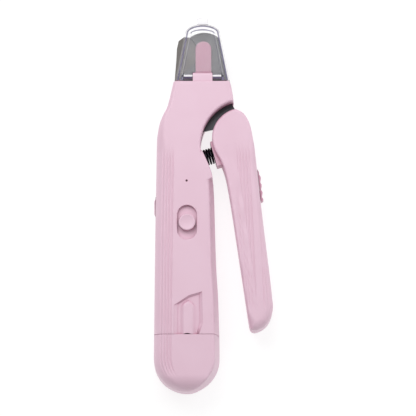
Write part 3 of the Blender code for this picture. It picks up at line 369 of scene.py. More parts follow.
def plate(name, outline, low, high):
    """An outline in XY filled and extruded from low to high."""
    bpy.ops.object.select_all(action="DESELECT")
    bpy.ops.mesh.primitive_circle_add(vertices=len(outline), radius=0.01, fill_type="NGON")
    slab = bpy.context.object
    slab.name = name
    slab.data.vertices.foreach_set("co", [c for x, y in outline for c in (x, y, low)])
    with edit_mode():
        bpy.ops.mesh.extrude_region_move(TRANSFORM_OT_translate={"value": (0, 0, high - low)})
    return face_outwards(slab)


def box(name, low, high):
    corners = [(low[0], low[1]), (high[0], low[1]), (high[0], high[1]), (low[0], high[1])]
    return plate(name, corners, low[2], high[2])


def turned(name, profile, steps=32):
    """A disc extruded and resized up a (radius, height) profile about Z."""
    bpy.ops.object.select_all(action="DESELECT")
    radius, height = profile[0]
    bpy.ops.mesh.primitive_circle_add(vertices=steps, radius=radius, fill_type="NGON")
    bar = bpy.context.object
    bar.name = name
    with edit_mode():
        bpy.ops.transform.translate(value=(0, 0, height))
        for wide, high in profile[1:]:
            bpy.ops.mesh.extrude_region_move(TRANSFORM_OT_translate={"value": (0, 0, high - height)})
            share = wide / radius
            bpy.ops.transform.resize(value=(share, share, 1), center_override=(0, 0, high))
            radius, height = wide, high
    return face_outwards(bar)


def put(obj, place=(0, 0, 0), turn=(0, 0, 0)):
    """Turns and moves a mesh, and leaves its object at the origin."""
    select_only(obj)
    obj.location = place
    obj.rotation_euler = turn
    bpy.ops.object.transform_apply(location=True, rotation=True, scale=True)
    return obj


def apply_step(obj, kind, **settings):
    select_only(obj)
    step = obj.modifiers.new("step", kind)
    for key, value in settings.items():
        setattr(step, key, value)
    bpy.ops.object.modifier_apply(modifier=step.name)
    return obj


def combine(obj, operation, *tools):
    """Joins the tools into one block, then adds it to a piece or takes it away, in one Boolean."""
    select_only(*tools)
    if len(tools) > 1:
        bpy.ops.object.join()
    tool = tools[0]
    apply_step(obj, "BOOLEAN", operation=operation, object=tool, solver="EXACT", use_self=True)
    bpy.data.objects.remove(tool, do_unlink=True)
    return obj


def cut(obj, *tools):
    return combine(obj, "DIFFERENCE", *tools)


def join(obj, *tools):
    return combine(obj, "UNION", *tools)


def rounded(obj, width, segments=3, angle=40):
    """Bevels every edge sharper than the angle."""
    return apply_step(obj, "BEVEL", width=width, segments=segments, limit_method="ANGLE",
                      angle_limit=math.radians(angle), harden_normals=False)


def bar(place, low, high, radius, steps=24):
    """A round bar along Z over an (x, y) place."""
    return put(turned("bar", [(radius, low), (radius, high)], steps), (*place, 0))


def bars(places, low, high, radius):
    return [bar(place, low, high, radius) for place in places]


def spring_bar(radius, start, end):
    """A round bar on the spring's axis, measured from the lever's spring face."""
    return put(turned("spring_bar", [(radius, start), (radius, end)], 40), (*SPRING_FACE, SPLIT), ALONG_SPRING)


# ---- Finishes --------------------------------------------------------------


def colour(code):
    """A colour from its sRGB hex value, turned to linear light."""
    values = [int(code[i:i + 2], 16) / 255 for i in (1, 3, 5)]
    return (*(v / 12.92 if v <= 0.04045 else ((v + 0.055) / 1.055) ** 2.4 for v in values), 1.0)


def add(tree, kind, links=(), **settings):
    """Adds a node with its settings and the sockets that feed it."""
    made = tree.nodes.new("ShaderNode" + kind)
    for key, value in settings.items():
        if hasattr(made, key):
            setattr(made, key, value)
        else:
            made.inputs[key.replace("_", " ")].default_value = value
    for socket, source in links:
        tree.links.new(source, made.inputs[socket])
    return made


def finish(name, **shader_values):
    """A new material: (material, its tree, its shader, object coordinates)."""
    made = bpy.data.materials.new(name)
    made.use_nodes = True
    tree = made.node_tree
    shader = tree.nodes["Principled BSDF"]
    for key, value in shader_values.items():
        shader.inputs[key.replace("_", " ")].default_value = value
    place = add(tree, "TexCoord").outputs["Object"]
    return made, tree, shader, place


def spread(tree, source, low, high, base):
    """Maps a pattern to a range."""
    return add(tree, "MapRange", [("Value", source)], From_Min=low, From_Max=high,
               To_Min=base[0], To_Max=base[1]).outputs["Result"]


def paint(tree, shader, source, first, second, low=0.35, high=0.65):
    """Colours the surface by a pattern, from one sRGB tone to another."""
    ramp = add(tree, "ValToRGB", [("Fac", source)])
    for i, (place, code) in enumerate(((low, first), (high, second))):
        ramp.color_ramp.elements[i].position = place
        ramp.color_ramp.elements[i].color = colour(code)
    tree.links.new(ramp.outputs["Color"], shader.inputs["Base Color"])
    return ramp.outputs["Color"]


def relief(tree, shader, source, low, high, roughness, strength, sunken=False):
    """Roughens and raises the surface by a pattern, by up to 0.1 mm."""
    tree.links.new(spread(tree, source, low, high, roughness), shader.inputs["Roughness"])
    bump = add(tree, "Bump", [("Height", source)], Strength=strength, Distance=0.0001, invert=sunken)
    tree.links.new(bump.outputs["Normal"], shader.inputs["Normal"])


def moulded(name, tone, deep_tone, roughness, bump=0.05, painted_shade_tone=None):
    """Injection-moulded ABS from a spark-eroded mould: satin, with a fine even grain and a faint drift of tone.

    A painted shade tone, if given, is mixed into the colour by ambient occlusion in corners and creases, standing in
    for the deeper light that bounces between pink walls.
    """
    made, tree, shader, place = finish(name, IOR=1.54, Coat_Weight=0.0)
    drift = add(tree, "TexNoise", [("Vector", place)], Scale=60.0, Detail=2.0)
    skin = paint(tree, shader, drift.outputs["Fac"], deep_tone, tone)
    if painted_shade_tone:
        # Painted shade: ambient occlusion mixes the deeper pink tone into corners and creases
        corner = add(tree, "AmbientOcclusion", Distance=PAINTED_SHADE_REACH)
        mix = add(tree, "MixRGB", [("Fac", corner.outputs["AO"]), ("Color2", skin)], Color1=colour(painted_shade_tone))
        tree.links.new(mix.outputs["Color"], shader.inputs["Base Color"])
    # Spark erosion leaves pits of about 0.05 mm; drawn at 0.35 mm so that they show
    grain = add(tree, "TexNoise", [("Vector", place)], Scale=2800.0, Detail=3.0, Roughness=0.6)
    relief(tree, shader, grain.outputs["Fac"], 0.3, 0.7, (roughness - 0.05, roughness + 0.05), bump)
    return made


def ground_steel(name, tone, deep_tone, roughness, stretch, turn=0.0, bump=0.08):
    """Stainless steel ground on a belt: fine straight lines that spread the reflections across them."""
    made, tree, shader, place = finish(name, Metallic=1.0)
    lines = add(tree, "Mapping", [("Vector", place)], Rotation=(0, 0, turn), Scale=stretch)
    grain = add(tree, "TexNoise", [("Vector", lines.outputs["Vector"])], Scale=1.0, Detail=3.0, Roughness=0.65)
    paint(tree, shader, grain.outputs["Fac"], deep_tone, tone)
    relief(tree, shader, grain.outputs["Fac"], 0.3, 0.7, (roughness - 0.08, roughness + 0.08), bump)
    return made


def clear_plastic():
    """Clear polycarbonate, polished mould: whitish and clear flat on, with a painted purple-grey refraction shade and
    less clearness where it turns away.
    """
    made, tree, shader, place = finish("clear_moulded_polycarbonate", IOR=1.58, Roughness=0.06)
    facing = add(tree, "LayerWeight", Blend=0.35).outputs["Facing"]
    # Painted refraction shade: the colour turns purple-grey where the surface turns away from the view
    paint(tree, shader, facing, "#f4f2f6", "#b9aec4", 0.35, 0.95)
    haze = add(tree, "TexNoise", [("Vector", place)], Scale=90.0, Detail=2.0)
    thin = spread(tree, haze.outputs["Fac"], 0.3, 0.7, (0.10, 0.13))
    grazing_alpha = add(tree, "MapRange", [("Value", facing), ("To Min", thin)], From_Min=0.25, From_Max=0.95,
                To_Max=0.80)
    tree.links.new(grazing_alpha.outputs["Result"], shader.inputs["Alpha"])
    return made


def refraction_paint(name, first, second, roughness, alpha):
    """The same polycarbonate with flat painted colour: the dark and the white bands that its thick wall makes by
    turning the light, as painted shade and painted highlight.
    """
    made, tree, shader, place = finish(name, IOR=1.58, Roughness=roughness, Alpha=alpha)
    haze = add(tree, "TexNoise", [("Vector", place)], Scale=300.0, Detail=2.0)
    paint(tree, shader, haze.outputs["Fac"], first, second)
    return made


def grit():
    """Diamond grit in a nickel bond: hard dark grains that sparkle at their corners."""
    made, tree, shader, place = finish("electroplated_diamond_grit", Metallic=0.55)
    # Grit 180 has grains of 0.08 mm; drawn at 0.25 mm so that they show
    grains = add(tree, "TexVoronoi", [("Vector", place)], Scale=4000.0).outputs["Distance"]
    paint(tree, shader, grains, "#b5b0a8", "#4c4742", 0.1, 0.6)
    relief(tree, shader, grains, 0.0, 0.7, (0.45, 0.85), 0.9, sunken=True)
    return made


def lamp_epoxy():
    """Clear epoxy of a 3 mm lamp, slightly milky from its phosphor."""
    made, tree, shader, place = finish("milky_lamp_epoxy", IOR=1.53, Roughness=0.12, Subsurface_Weight=0.3,
                                       Subsurface_Scale=0.001)
    cloud = add(tree, "TexNoise", [("Vector", place)], Scale=700.0, Detail=1.0)
    paint(tree, shader, cloud.outputs["Fac"], "#e6e7d8", "#f4f4ec")
    return made


# Painted shade tone for corners and creases, and how far the ambient occlusion reaches
PAINTED_CREASE_SHADE = "#b0577a"
PAINTED_SHADE_REACH = 0.005
FINISHES = {
    "pink_abs": moulded("pink_moulded_abs", "#e8c6d7", "#e6c3d4", 0.42, painted_shade_tone=PAINTED_CREASE_SHADE),
    "deep_pink_abs": moulded("dusky_pink_moulded_abs", "#d3a2b7", "#ce9cb2", 0.40, painted_shade_tone=PAINTED_CREASE_SHADE),
    # The slot floor's copy of the pink ABS, painted lighter and without the painted crease shade, to offset the shade
    # it gets deep in the slot
    "shutter_painted_lighter_abs": moulded("pink_moulded_abs_painted_lighter", "#ecc9da", "#eac6d8", 0.42),
    "rose_abs": moulded("rose_moulded_abs", "#d5a8bd", "#d1a2b8", 0.42, painted_shade_tone=PAINTED_CREASE_SHADE),
    "bright_steel": ground_steel("ground_stainless_steel", "#535457", "#46474a", 0.36, (2600, 160, 1500)),
    "dark_steel": ground_steel("hardened_blade_steel", "#686563", "#5a5755", 0.42, (2200, 140, 1500),
                               math.radians(8)),
    "spring_steel": ground_steel("black_oiled_spring_steel", "#34333a", "#222228", 0.40, (900, 900, 900)),
    "nickel": ground_steel("nickel_plated_screw_steel", "#b9b8b5", "#a8a7a4", 0.28, (1500, 1500, 200)),
    "black_parts": moulded("black_moulded_nylon", "#1b1b1d", "#151517", 0.45),
    "dark_rubber": moulded("dark_grey_moulded_rubber", "#6d5f66", "#63565d", 0.70, 0.15),
    "green_board": moulded("green_solder_mask", "#1f5b33", "#194d2a", 0.35),
    "cell_sleeve": moulded("blue_shrink_sleeve", "#2a4f86", "#24457a", 0.30),
    "clear_plastic": clear_plastic(),
    "dark_refraction_paint": refraction_paint("clear_polycarbonate_painted_dark_refraction", "#5d567a", "#7d7795", 0.15, 0.85),
    "white_refraction_paint": refraction_paint("clear_polycarbonate_painted_white_refraction", "#f3f1f5", "#fbfafc", 0.12, 0.90),
    "grit": grit(),
    "lamp_epoxy": lamp_epoxy(),
}


def piece(obj, body, finish_name, slot, *nodes, smooth=30):
    """Shades, paints and mounts a finished piece, which stands for the CAD nodes named."""
    select_only(obj)
    bpy.ops.object.shade_smooth_by_angle(angle=math.radians(smooth))
    apply_step(obj, "WEIGHTED_NORMAL", keep_sharp=True)
    obj.data.materials.clear()
    obj.data.materials.append(FINISHES[finish_name])
    obj.name = f"{nodes[0]}_detailed" if nodes else obj.name
    if body == "spring":
        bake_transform(obj)
    else:
        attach(obj, body)
    if nodes:
        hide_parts(*nodes)
    return obj


# ---- Body shells -----------------------------------------------------------


def rib(left, right, depth, shoulder=SHOULDER, flutes=0.0, inset=0.0, base=HALF_GAP, draft=SIDE_DRAFT):
    """Half a cross-section as (x, height over the split), from the left seam over the face to the right seam.

    The left shoulder is a large round with grip flutes on it, the right side leans in to a small round edge.
    """
    left, right, depth = left + inset, right - inset, depth - inset
    width = right - left
    shoulder = min(max(shoulder - inset, 0.0005), depth * 0.9, width * 0.42)
    edge = min(max(EDGE - inset / 2, 0.0005), depth * 0.5, width * 0.2)
    lean = min(draft, width * 0.1)
    start = min(FLUTE_START, shoulder * 0.9)
    end = max(start, min(0.0095, width * 0.5))
    turn = math.acos(1 - start / shoulder)
    outline = [(left + CHAMFER, base), (left, base + CHAMFER)]
    for i in range(9):
        a = turn * i / 8
        outline.append((left + shoulder * (1 - math.cos(a)), depth - shoulder * (1 - math.sin(a))))
    for i in range(1, 37):
        w = start + (end - start) * i / 36
        short = max(shoulder - w, 0.0)
        drop = shoulder - math.sqrt(shoulder ** 2 - short ** 2)
        phase = (w - FLUTE_START) / FLUTE_PITCH
        if 0 < phase < FLUTES:
            drop += flutes * FLUTE_DEPTH * (0.5 - 0.5 * math.cos(math.tau * phase))
        outline.append((left + w, depth - drop))
    first, last = left + end, right - lean - edge
    outline += [(first + (last - first) * i / 4, depth) for i in range(1, 4)]
    outline += arc((last, depth - edge), edge, 90, 10, 7)
    outline += [(right - lean * 0.5, depth * 0.5), (right, base + CHAMFER), (right - CHAMFER, base)]
    return outline


def shell_rows(low, high, seam_round, head_round):
    """(y, inset of a small end round) rows down the body, closer where its edges curve."""
    rows = [(low + back, inset) for back, inset in quarter(seam_round, 5)]
    rows += [(high - back, inset) for back, inset in quarter(head_round, 5)]
    start, end = low + seam_round, high - head_round
    middle = [start + (end - start) * i / 72 for i in range(1, 72)]
    return sorted(rows + [(y, 0.0) for y in middle])


def body_half(name, side, inset=0.0):
    """Half of the body, solid; with an inset it is the room inside the wall."""
    if inset:
        rows = [(SEAM_Y - OVER + (HEAD_Y - WALL - SEAM_Y + OVER) * i / 36, 0.0) for i in range(37)]
    else:
        rows = shell_rows(SEAM_Y, HEAD_Y, SEAM_ROUND, HEAD_ROUND)
    rings = []
    for y, shrink in rows:
        shoulder = SHOULDER + (HEAD_SHOULDER - SHOULDER) * ease(y, *SHOULDER_BLEND)
        flutes = ease(y, *FLUTE_FADE) * (not inset)
        base = -OVER if inset else HALF_GAP
        outline = rib(along(LEFT_EDGE, y) + shrink, along(RIGHT_EDGE, y) - shrink, SPLIT - shrink, shoulder,
                      flutes, inset, base, SIDE_DRAFT * (1 - 0.8 * ease(y, *DRAFT_FADE)))
        rings.append([(x, y, SPLIT + side * z) for x, z in outline])
    return rolled(name, rings)


def bite_path(steps):
    return arc(BITE_CENTRE, BITE_RADIUS, 107, 187, 14 * steps)[:-1 if steps > 1 else None] + (
        through([arc(BITE_CENTRE, BITE_RADIUS, 187, 187, 1)[0], *BITE_FOOT], 5) if steps > 1 else BITE_FOOT)


def bite_outline(grow, steps=3):
    """The outline of the bite in the body's right side, grown into the body by a distance."""
    path = offset(bite_path(steps), -grow, closed=False)
    far = 0.060
    return [(far, BITE_FOOT[-1][1]), (far, 0.0575), (0.0270, 0.0575), *path]


def flared(name, outline_at, low, face, reach, radius, side=1):
    """A cutter whose rim opens in a round towards the face; reach is how far it sticks out of the face."""
    rim = [(outline_at(inset), face - side * drop) for inset, drop in quarter(radius, 5)]
    return stacked(name, (outline_at(0.0), low), *rim, (outline_at(radius), face + side * reach))


def fixed_slot():
    return plate("fixed_slot", offset(fixed_blade_outline(2), -GAP), FIXED_BACK - GAP, FIXED_FRONT + GAP)


def moving_slot():
    """Room for the moving blade and its sweep."""
    sweep = [(-0.0120, 0.0600), (-0.0120, HEAD_Y + OVER), (0.0220, HEAD_Y + OVER), (0.0220, 0.0570),
             (0.0300, 0.0545), (0.0240, 0.0345), (0.0040, 0.0345), (-0.0040, 0.0500)]
    return plate("sweep", sweep, MOVING_BACK - GAP, MOVING_FRONT + GAP)


def fixed_blade_outline(fine=3):
    """The front plate without its catch: hook with its nail notch, root in the head, eye on the pivot."""
    hook = [(0.0224, 0.0596), (0.0171, 0.0874)]
    hook += bend((0.0160, 0.0887), (0.0090, 0.0931), (0.0019, 0.0885), 8 * fine)
    hook += arc(NOTCH_CENTRE, NOTCH_RADIUS, 102, -115, 14 * fine)
    hook += [(-0.0031, 0.0683), (-0.0049, 0.0596), (-0.0049, 0.0500), (0.0010, 0.0450), (0.0090, 0.0385),
             (0.0134, 0.0396)]
    return hook + arc(PIVOT, PIVOT_BOSS, 190, 400, 24) + [(0.0250, 0.0505), (0.0240, 0.0524)]


def side_tool(length, width, place_y, low=-0.002, high=WALL + 0.0015):
    """A racetrack cutter through the left wall."""
    tool = plate("side_tool", racetrack(length, width), low, high)
    return put(tool, (along(LEFT_EDGE, place_y), place_y, SPLIT), ACROSS)


def side_holes():
    room = 2 * (2 * GAP + SEAL)
    return (side_tool(BUTTON_LENGTH + room, BUTTON_HEIGHT + room, BUTTON_Y),
            side_tool(SOCKET_SIZE[0] + 2 * GAP, SOCKET_SIZE[1] + 2 * GAP, SOCKET_Y))


def lamp_hump():
    """A long flat-topped ridge from the seam up, over the grinder lamp; its top end is a soft gable."""
    floor = BODY_DEPTH - RECESS_DEPTH
    spots = [HUMP_HALF_WIDTH * (1 - i / 14) for i in range(29)]
    top = [(HUMP_X + w, floor + HUMP_RISE * ease(abs(w), HUMP_HALF_WIDTH, HUMP_FLAT)) for w in spots]
    low = floor - 0.0006
    outline = [(HUMP_X + HUMP_HALF_WIDTH, low), *top, (HUMP_X - HUMP_HALF_WIDTH, low)]
    rings = [[(x, SEAM_Y + 0.00002, z) for x, z in outline]]
    for i in range(7):
        a = RIGHT_ANGLE * i / 6
        rise, back = math.cos(a), 0.0022 * (1 - math.sin(a))
        gable = [HUMP_TOP_Y - back - 0.0030 * abs(x - HUMP_X) / HUMP_HALF_WIDTH for x, z in outline]
        rings.append([(x, y, low + (z - low) * max(rise, 0.02)) for (x, z), y in zip(outline, gable)])
    return rolled("lamp_hump", rings)


def hinge_lug():
    """The centre knuckle and the block that carries it on the head's end face."""
    low, high = CENTRE_KNUCKLE
    foot_y, back_z = HEAD_Y - WALL / 2, HINGE_Z - KNUCKLE
    profile = [(foot_y, back_z - 0.0008), (HINGE_Y, back_z)]
    profile += arc((HINGE_Y, HINGE_Z), KNUCKLE, -75, 90, 16)
    profile += [(foot_y, HINGE_Z + KNUCKLE)]
    return rolled("hinge_lug", [[(x, y, z) for y, z in profile] for x in (low, high)])


def hinge_bar(radius, low, high, steps=24):
    return put(turned("hinge_bar", [(radius, low), (radius, high)], steps), (0, HINGE_Y, HINGE_Z), ACROSS)


def pocket_wall():
    return spring_bar(POCKET_RADIUS + POCKET_WALL, -SPRING_IN_BODY - GAP - POCKET_WALL, 0.002)


def spring_pocket():
    return spring_bar(POCKET_RADIUS, -SPRING_IN_BODY - GAP, 0.004)


def front_shell():
    shell = body_half("front_shell", 1)
    layers = []
    for i in range(9):
        share = i / 8
        outline = [tuple(low + (high - low) * ease(share, 0, 1) for low, high in zip(floor, rim))
                   for floor, rim in zip(RECESS_FLOOR, RECESS)]
        layers.append((outline, BODY_DEPTH - RECESS_DEPTH * (1 - share)))
    cut(shell, stacked("recess", *layers, (RECESS, BODY_DEPTH + 0.003)))
    join(shell, lamp_hump(), hinge_lug())
    room = body_half("front_room", 1, WALL)
    cut(room, plate("bite_wall", bite_outline(WALL, 1), -OVER, BODY_DEPTH + OVER))
    cut(room, pocket_wall(),
        *bars(HOUSING_SCREWS, SPLIT + HALF_GAP, BODY_DEPTH - WALL / 2, BOSS),
        *bars(BLADE_SCREWS, FIXED_FRONT + GAP, BODY_DEPTH - WALL / 2, BOSS))
    cut(shell, room)

    slot = flared("slot", lambda grow: shifted(
        racetrack(SLOT_LENGTH + 2 * grow, SLOT_WIDTH + 2 * grow, 20), SLOT_CENTRE),
        INNER_FRONT - 0.003, BODY_DEPTH, 0.001, 0.0004)
    pinhole = put(turned("pinhole", [(0.0005, INNER_FRONT - OVER), (0.0005, BODY_DEPTH - 0.0002),
                                     (0.0008, BODY_DEPTH + 0.0001), (0.0008, BODY_DEPTH + OVER)]), (*PINHOLE, 0))
    x, half, depth = LAMP_NOTCH
    curve = bend((x - half, SEAM_Y), (x, SEAM_Y + 2 * depth), (x + half, SEAM_Y), 16)
    notch = plate("notch", [(x + half, SEAM_Y - OVER), *reversed(curve), (x - half, SEAM_Y - OVER)],
                  BORE_END, BODY_DEPTH + 0.003)
    lamp = put(turned("lamp_hole", [(0.0018, 0), (0.0018, 0.0036), (0.0022, 0.0040), (0.0022, 0.006)]),
               (HEAD_LAMP[0], HEAD_Y - 0.004, HEAD_LAMP[1]), UP_BODY)
    stop_half = STOP_HALF_WIDTH + GAP
    stop = box("stop_slot", (STOP_CENTRE[0] - stop_half, HEAD_Y - 2 * WALL, STOP_BACK - GAP),
               (STOP_CENTRE[0] + stop_half, HEAD_Y + OVER, STOP_FRONT + GAP))
    cut(shell, flared("bite", bite_outline, -OVER, BODY_DEPTH, OVER, BITE_RIM))
    cut(shell, moving_slot())
    cut(shell, spring_pocket(), fixed_slot(), *side_holes(), notch, lamp, slot, pinhole,
        hinge_bar(HINGE_PIN + GAP / 2, CENTRE_KNUCKLE[0] - OVER, CENTRE_KNUCKLE[1] + OVER),
        *bars(HOUSING_SCREWS, SPLIT - OVER, BORE_END, SCREW + GAP))
    cut(shell, stop, *bars(BLADE_SCREWS, FIXED_FRONT - OVER, BORE_END, SCREW + GAP))
    piece(shell, "housing", "pink_abs", "pink_abs", "front_shell")


def screw_wells(places, low, top):
    """Rear bosses with a wide foot round the screw's head."""
    wide = SCREW_HEAD + GAP + POCKET_WALL / 2
    profile = [(wide, low + WALL / 2), (wide, low + 0.0040), (BOSS, low + 0.0041), (BOSS, top)]
    return [put(turned("well", profile), (*place, 0)) for place in places]


def screw_bores(places, face, top):
    """Wells from the back with a small chamfer at the mouth, and the screw's own hole."""
    head = SCREW_HEAD + GAP
    profile = [(head + 0.0013, face - OVER), (head + 0.0003, face), (head, face + 0.0003),
               (head, face + SINK + HEAD_DEPTH + GAP), (SCREW + GAP, face + SINK + HEAD_DEPTH + GAP + 0.00001),
               (SCREW + GAP, top)]
    return [put(turned("bore", profile), (*place, 0)) for place in places]


def rear_shell():
    shell = body_half("rear_shell", -1)
    room = body_half("rear_room", -1, WALL)
    cut(room, plate("bite_wall", bite_outline(WALL, 1), -OVER, BODY_DEPTH + OVER))
    cut(room, pocket_wall(),
        *screw_wells(HOUSING_SCREWS, 0.0, SPLIT - HALF_GAP))
    cut(shell, room)
    cut(shell, flared("bite", bite_outline, BODY_DEPTH + OVER, 0.0, OVER, BITE_RIM, side=-1))
    cut(shell, moving_slot())
    cut(shell, spring_pocket(), *side_holes(), *screw_bores(HOUSING_SCREWS, 0.0, SPLIT + OVER))
    piece(shell, "housing", "pink_abs", "pink_abs", "rear_shell")


# ---- End cap ---------------------------------------------------------------


def cap_rows(inset, start):
    """(y, left, right, half depth) down the end cap, whose end is an ellipse in front view."""
    left, right = LEFT_EDGE[0][1] + inset, RIGHT_EDGE[0][1] - inset
    middle, half = (left + right) / 2, (right - left) / 2
    dome = CAP_DOME - inset
    ends = [(start, half)] if inset else [(start - back, half - small) for back, small in quarter(SEAM_ROUND, 4)]
    rows = [(y, middle - wide, middle + wide, SPLIT - inset - (half - wide)) for y, wide in ends]
    straight_end = SEAM_Y - CAP_STRAIGHT
    for i in range(1, 7):
        y = start - 0.0003 + (straight_end - start + 0.0003) * i / 7
        rows.append((y, left, right, SPLIT - inset))
    for angle in [math.radians(88 * i / 26) for i in range(27)]:
        y = straight_end - dome * math.sin(angle)
        past = max(0.0, dome * math.sin(angle) - (dome - CAP_FACE_ROUND)) / CAP_FACE_ROUND
        depth = SPLIT - inset - CAP_FACE_ROUND * (1 - math.sqrt(max(0.0, 1 - past * past)))
        rows.append((y, middle - half * math.cos(angle), middle + half * math.cos(angle), depth))
    return rows


def end_cap():
    solids = []
    for name, inset, start in (("end_cap", 0.0, SEAM_Y - CAP_SEAM_GAP), ("cap_room", CAP_WALL, SEAM_Y + OVER)):
        rings = []
        for y, left, right, depth in cap_rows(inset, start):
            swell = 0.0 if inset else CAP_BULGE * math.sin(math.pi * min(1.0, (start - y) / CAP_BULGE_REACH))
            flutes = ease(y, -0.0925, -0.0850) * (not inset)
            outline = rib(left - inset - swell, right + inset + swell, depth + inset, SHOULDER, flutes, inset, 0.0)
            outline = outline[1:-1]
            rings.append([(x, y, SPLIT + z) for x, z in outline] + [(x, y, SPLIT - z) for x, z in reversed(outline)])
        solids.append(rolled(name, rings))
    cap = cut(*solids)
    piece(cap, "cap", "pink_abs", "pink_abs", "end_cap")


# ---- Lever -----------------------------------------------------------------


def lever_outline(fine=4):
    """The lever in front view, counter-clockwise: egg-shaped head, inner edge, toe, tip and outer edge."""
    head = through([(0.0346, 0.0335), (0.0340, 0.0370), (0.0331, 0.0410), (0.0316, 0.0446), (0.0295, 0.0475),
                    (0.0270, 0.0491), (0.0243, 0.0495), (0.0202, 0.0476), (0.0165, 0.0441), (0.0145, 0.0407),
                    (0.0135, 0.0376), (0.0132, 0.0340), (0.0137, 0.0308), (0.0150, 0.0273), (0.0175, 0.0228),
                    (0.0195, 0.0180), (0.0211, 0.0117)], 2 * fine)
    inner = through([(0.0211, 0.0117), (0.0233, -0.0014), (0.0279, -0.0320), (0.0324, -0.0625)], 4 * fine)[1:]
    toe = bend((0.0326, -0.0638), (0.0332, -0.0668), (0.0362, -0.0662), 4 * fine)
    tip = bend((0.0362, -0.0662), (0.0440, -0.0640), (0.0449, -0.0535), 6 * fine)[1:]
    right = through([(0.0449, -0.0535), *LEVER_RIGHT], 4 * fine)[1:]
    return head + inner + toe + tip + right


def lever_round(x, y):
    """How large the round from side to face is at a place on the outline: large on the outer edge and the tip."""
    centre_x = PIVOT[0] + (PIVOT[1] - y) * math.tan(LEAN)
    outer = ease(x, centre_x - 0.002, centre_x + 0.005) * ease(y, 0.036, 0.016)
    tip = ease(y, -0.0560, -0.0650)
    return 0.0011 + 0.0034 * max(outer, tip * 1.05)


def measure(path, points):
    """(distance, nearest point on the path) for each point."""
    a = np.array(path)
    run = np.roll(a, -1, axis=0) - a
    share = ((points[:, None, :] - a[None]) * run[None]).sum(-1) / np.maximum((run ** 2).sum(-1), 1e-18)
    foot = a[None] + run[None] * np.clip(share, 0, 1)[..., None]
    gaps = np.linalg.norm(points[:, None, :] - foot, axis=-1)
    best = gaps.argmin(axis=1)
    rows = np.arange(len(points))
    return gaps[rows, best], foot[rows, best]


def lever_half(name, side):
    """Half of the lever laid in rows across its length, its face rounded by the distance to the outline."""
    outline = lever_outline()
    local = [off_lever(x, y) for x, y in outline]
    top, bottom = min(s for s, _ in local), max(s for s, _ in local)
    rows = [top + 0.0105 * (1 - math.cos(RIGHT_ANGLE * (i + 0.35) / 14)) for i in range(14)]
    rows += [rows[-1] + (bottom - 0.0070 - rows[-1]) * i / 62 for i in range(1, 63)]
    rows += [bottom - 0.0070 * (1 - math.sin(RIGHT_ANGLE * i / 14.25)) for i in range(1, 15)]
    face = (LEVER_FRONT if side > 0 else LEVER_BACK)
    base = SPLIT + side * HALF_GAP
    right_edge = [p for p in outline if p[0] > PIVOT[0] + (PIVOT[1] - p[1]) * math.tan(LEAN) and p[1] < 0.0360]
    right_edge = sorted(right_edge, key=lambda p: p[1])
    start, count = LEVER_FLUTES
    near = [0.0045 * (1 - math.cos(math.radians(48) * i / 8)) for i in range(9)]
    near += [near[-1] + (0.0100 - near[-1]) * i / 44 for i in range(1, 45)]
    far = [0.0045 * (1 - math.cos(RIGHT_ANGLE * i / 12)) for i in range(13)]
    rings = []
    for s in rows:
        hits = []
        for (s0, t0), (s1, t1) in zip(local, local[1:] + local[:1]):
            if (s0 - s) * (s1 - s) <= 0 and s0 != s1:
                hits.append(t0 + (t1 - t0) * (s - s0) / (s1 - s0))
        left, right = min(hits), max(hits)
        width = right - left
        fit_near, fit_far = min(1.0, width * 0.60 / 0.0100), min(1.0, width * 0.34 / 0.0045)
        ts = [left + d * fit_far for d in far]
        ts += [right - d * fit_near for d in reversed(near)]
        places = np.array([on_lever(s, t) for t in ts])
        gaps, feet = measure(outline, places)
        outer_gaps, _ = measure(right_edge, places)
        ring = []
        for (x, y), gap, foot, outer in zip(places, gaps, feet, outer_gaps):
            radius = lever_round(*foot)
            short = max(radius - gap, 0.0)
            drop = radius - math.sqrt(max(radius ** 2 - short ** 2, 0.0))
            phase = (outer - start) / FLUTE_PITCH
            fade = ease(y, 0.033, 0.024) * ease(y, -0.060, -0.050)
            if 0 < phase < count:
                drop += fade * FLUTE_DEPTH * (0.5 - 0.5 * math.cos(math.tau * phase))
            ring.append((x, y, face - side * drop))
        ends = [(*places[0], base), (*places[-1], base)]
        rings.append([ends[0], *ring, ends[1]])
    return rolled(name, rings)


def spring_seat(side, reach, low):
    """Half of the block that holds the spring's end; low is its start, as a height over the split."""
    half, height = SEAT_HALF_WIDTH, POCKET_RADIUS + POCKET_WALL
    low, high = sorted((SPLIT + side * low, SPLIT + side * height))
    return put(box("seat", (0, -half, low), (reach, half, high)), (*SPRING_FACE, 0), (0, 0, SPRING_TILT))


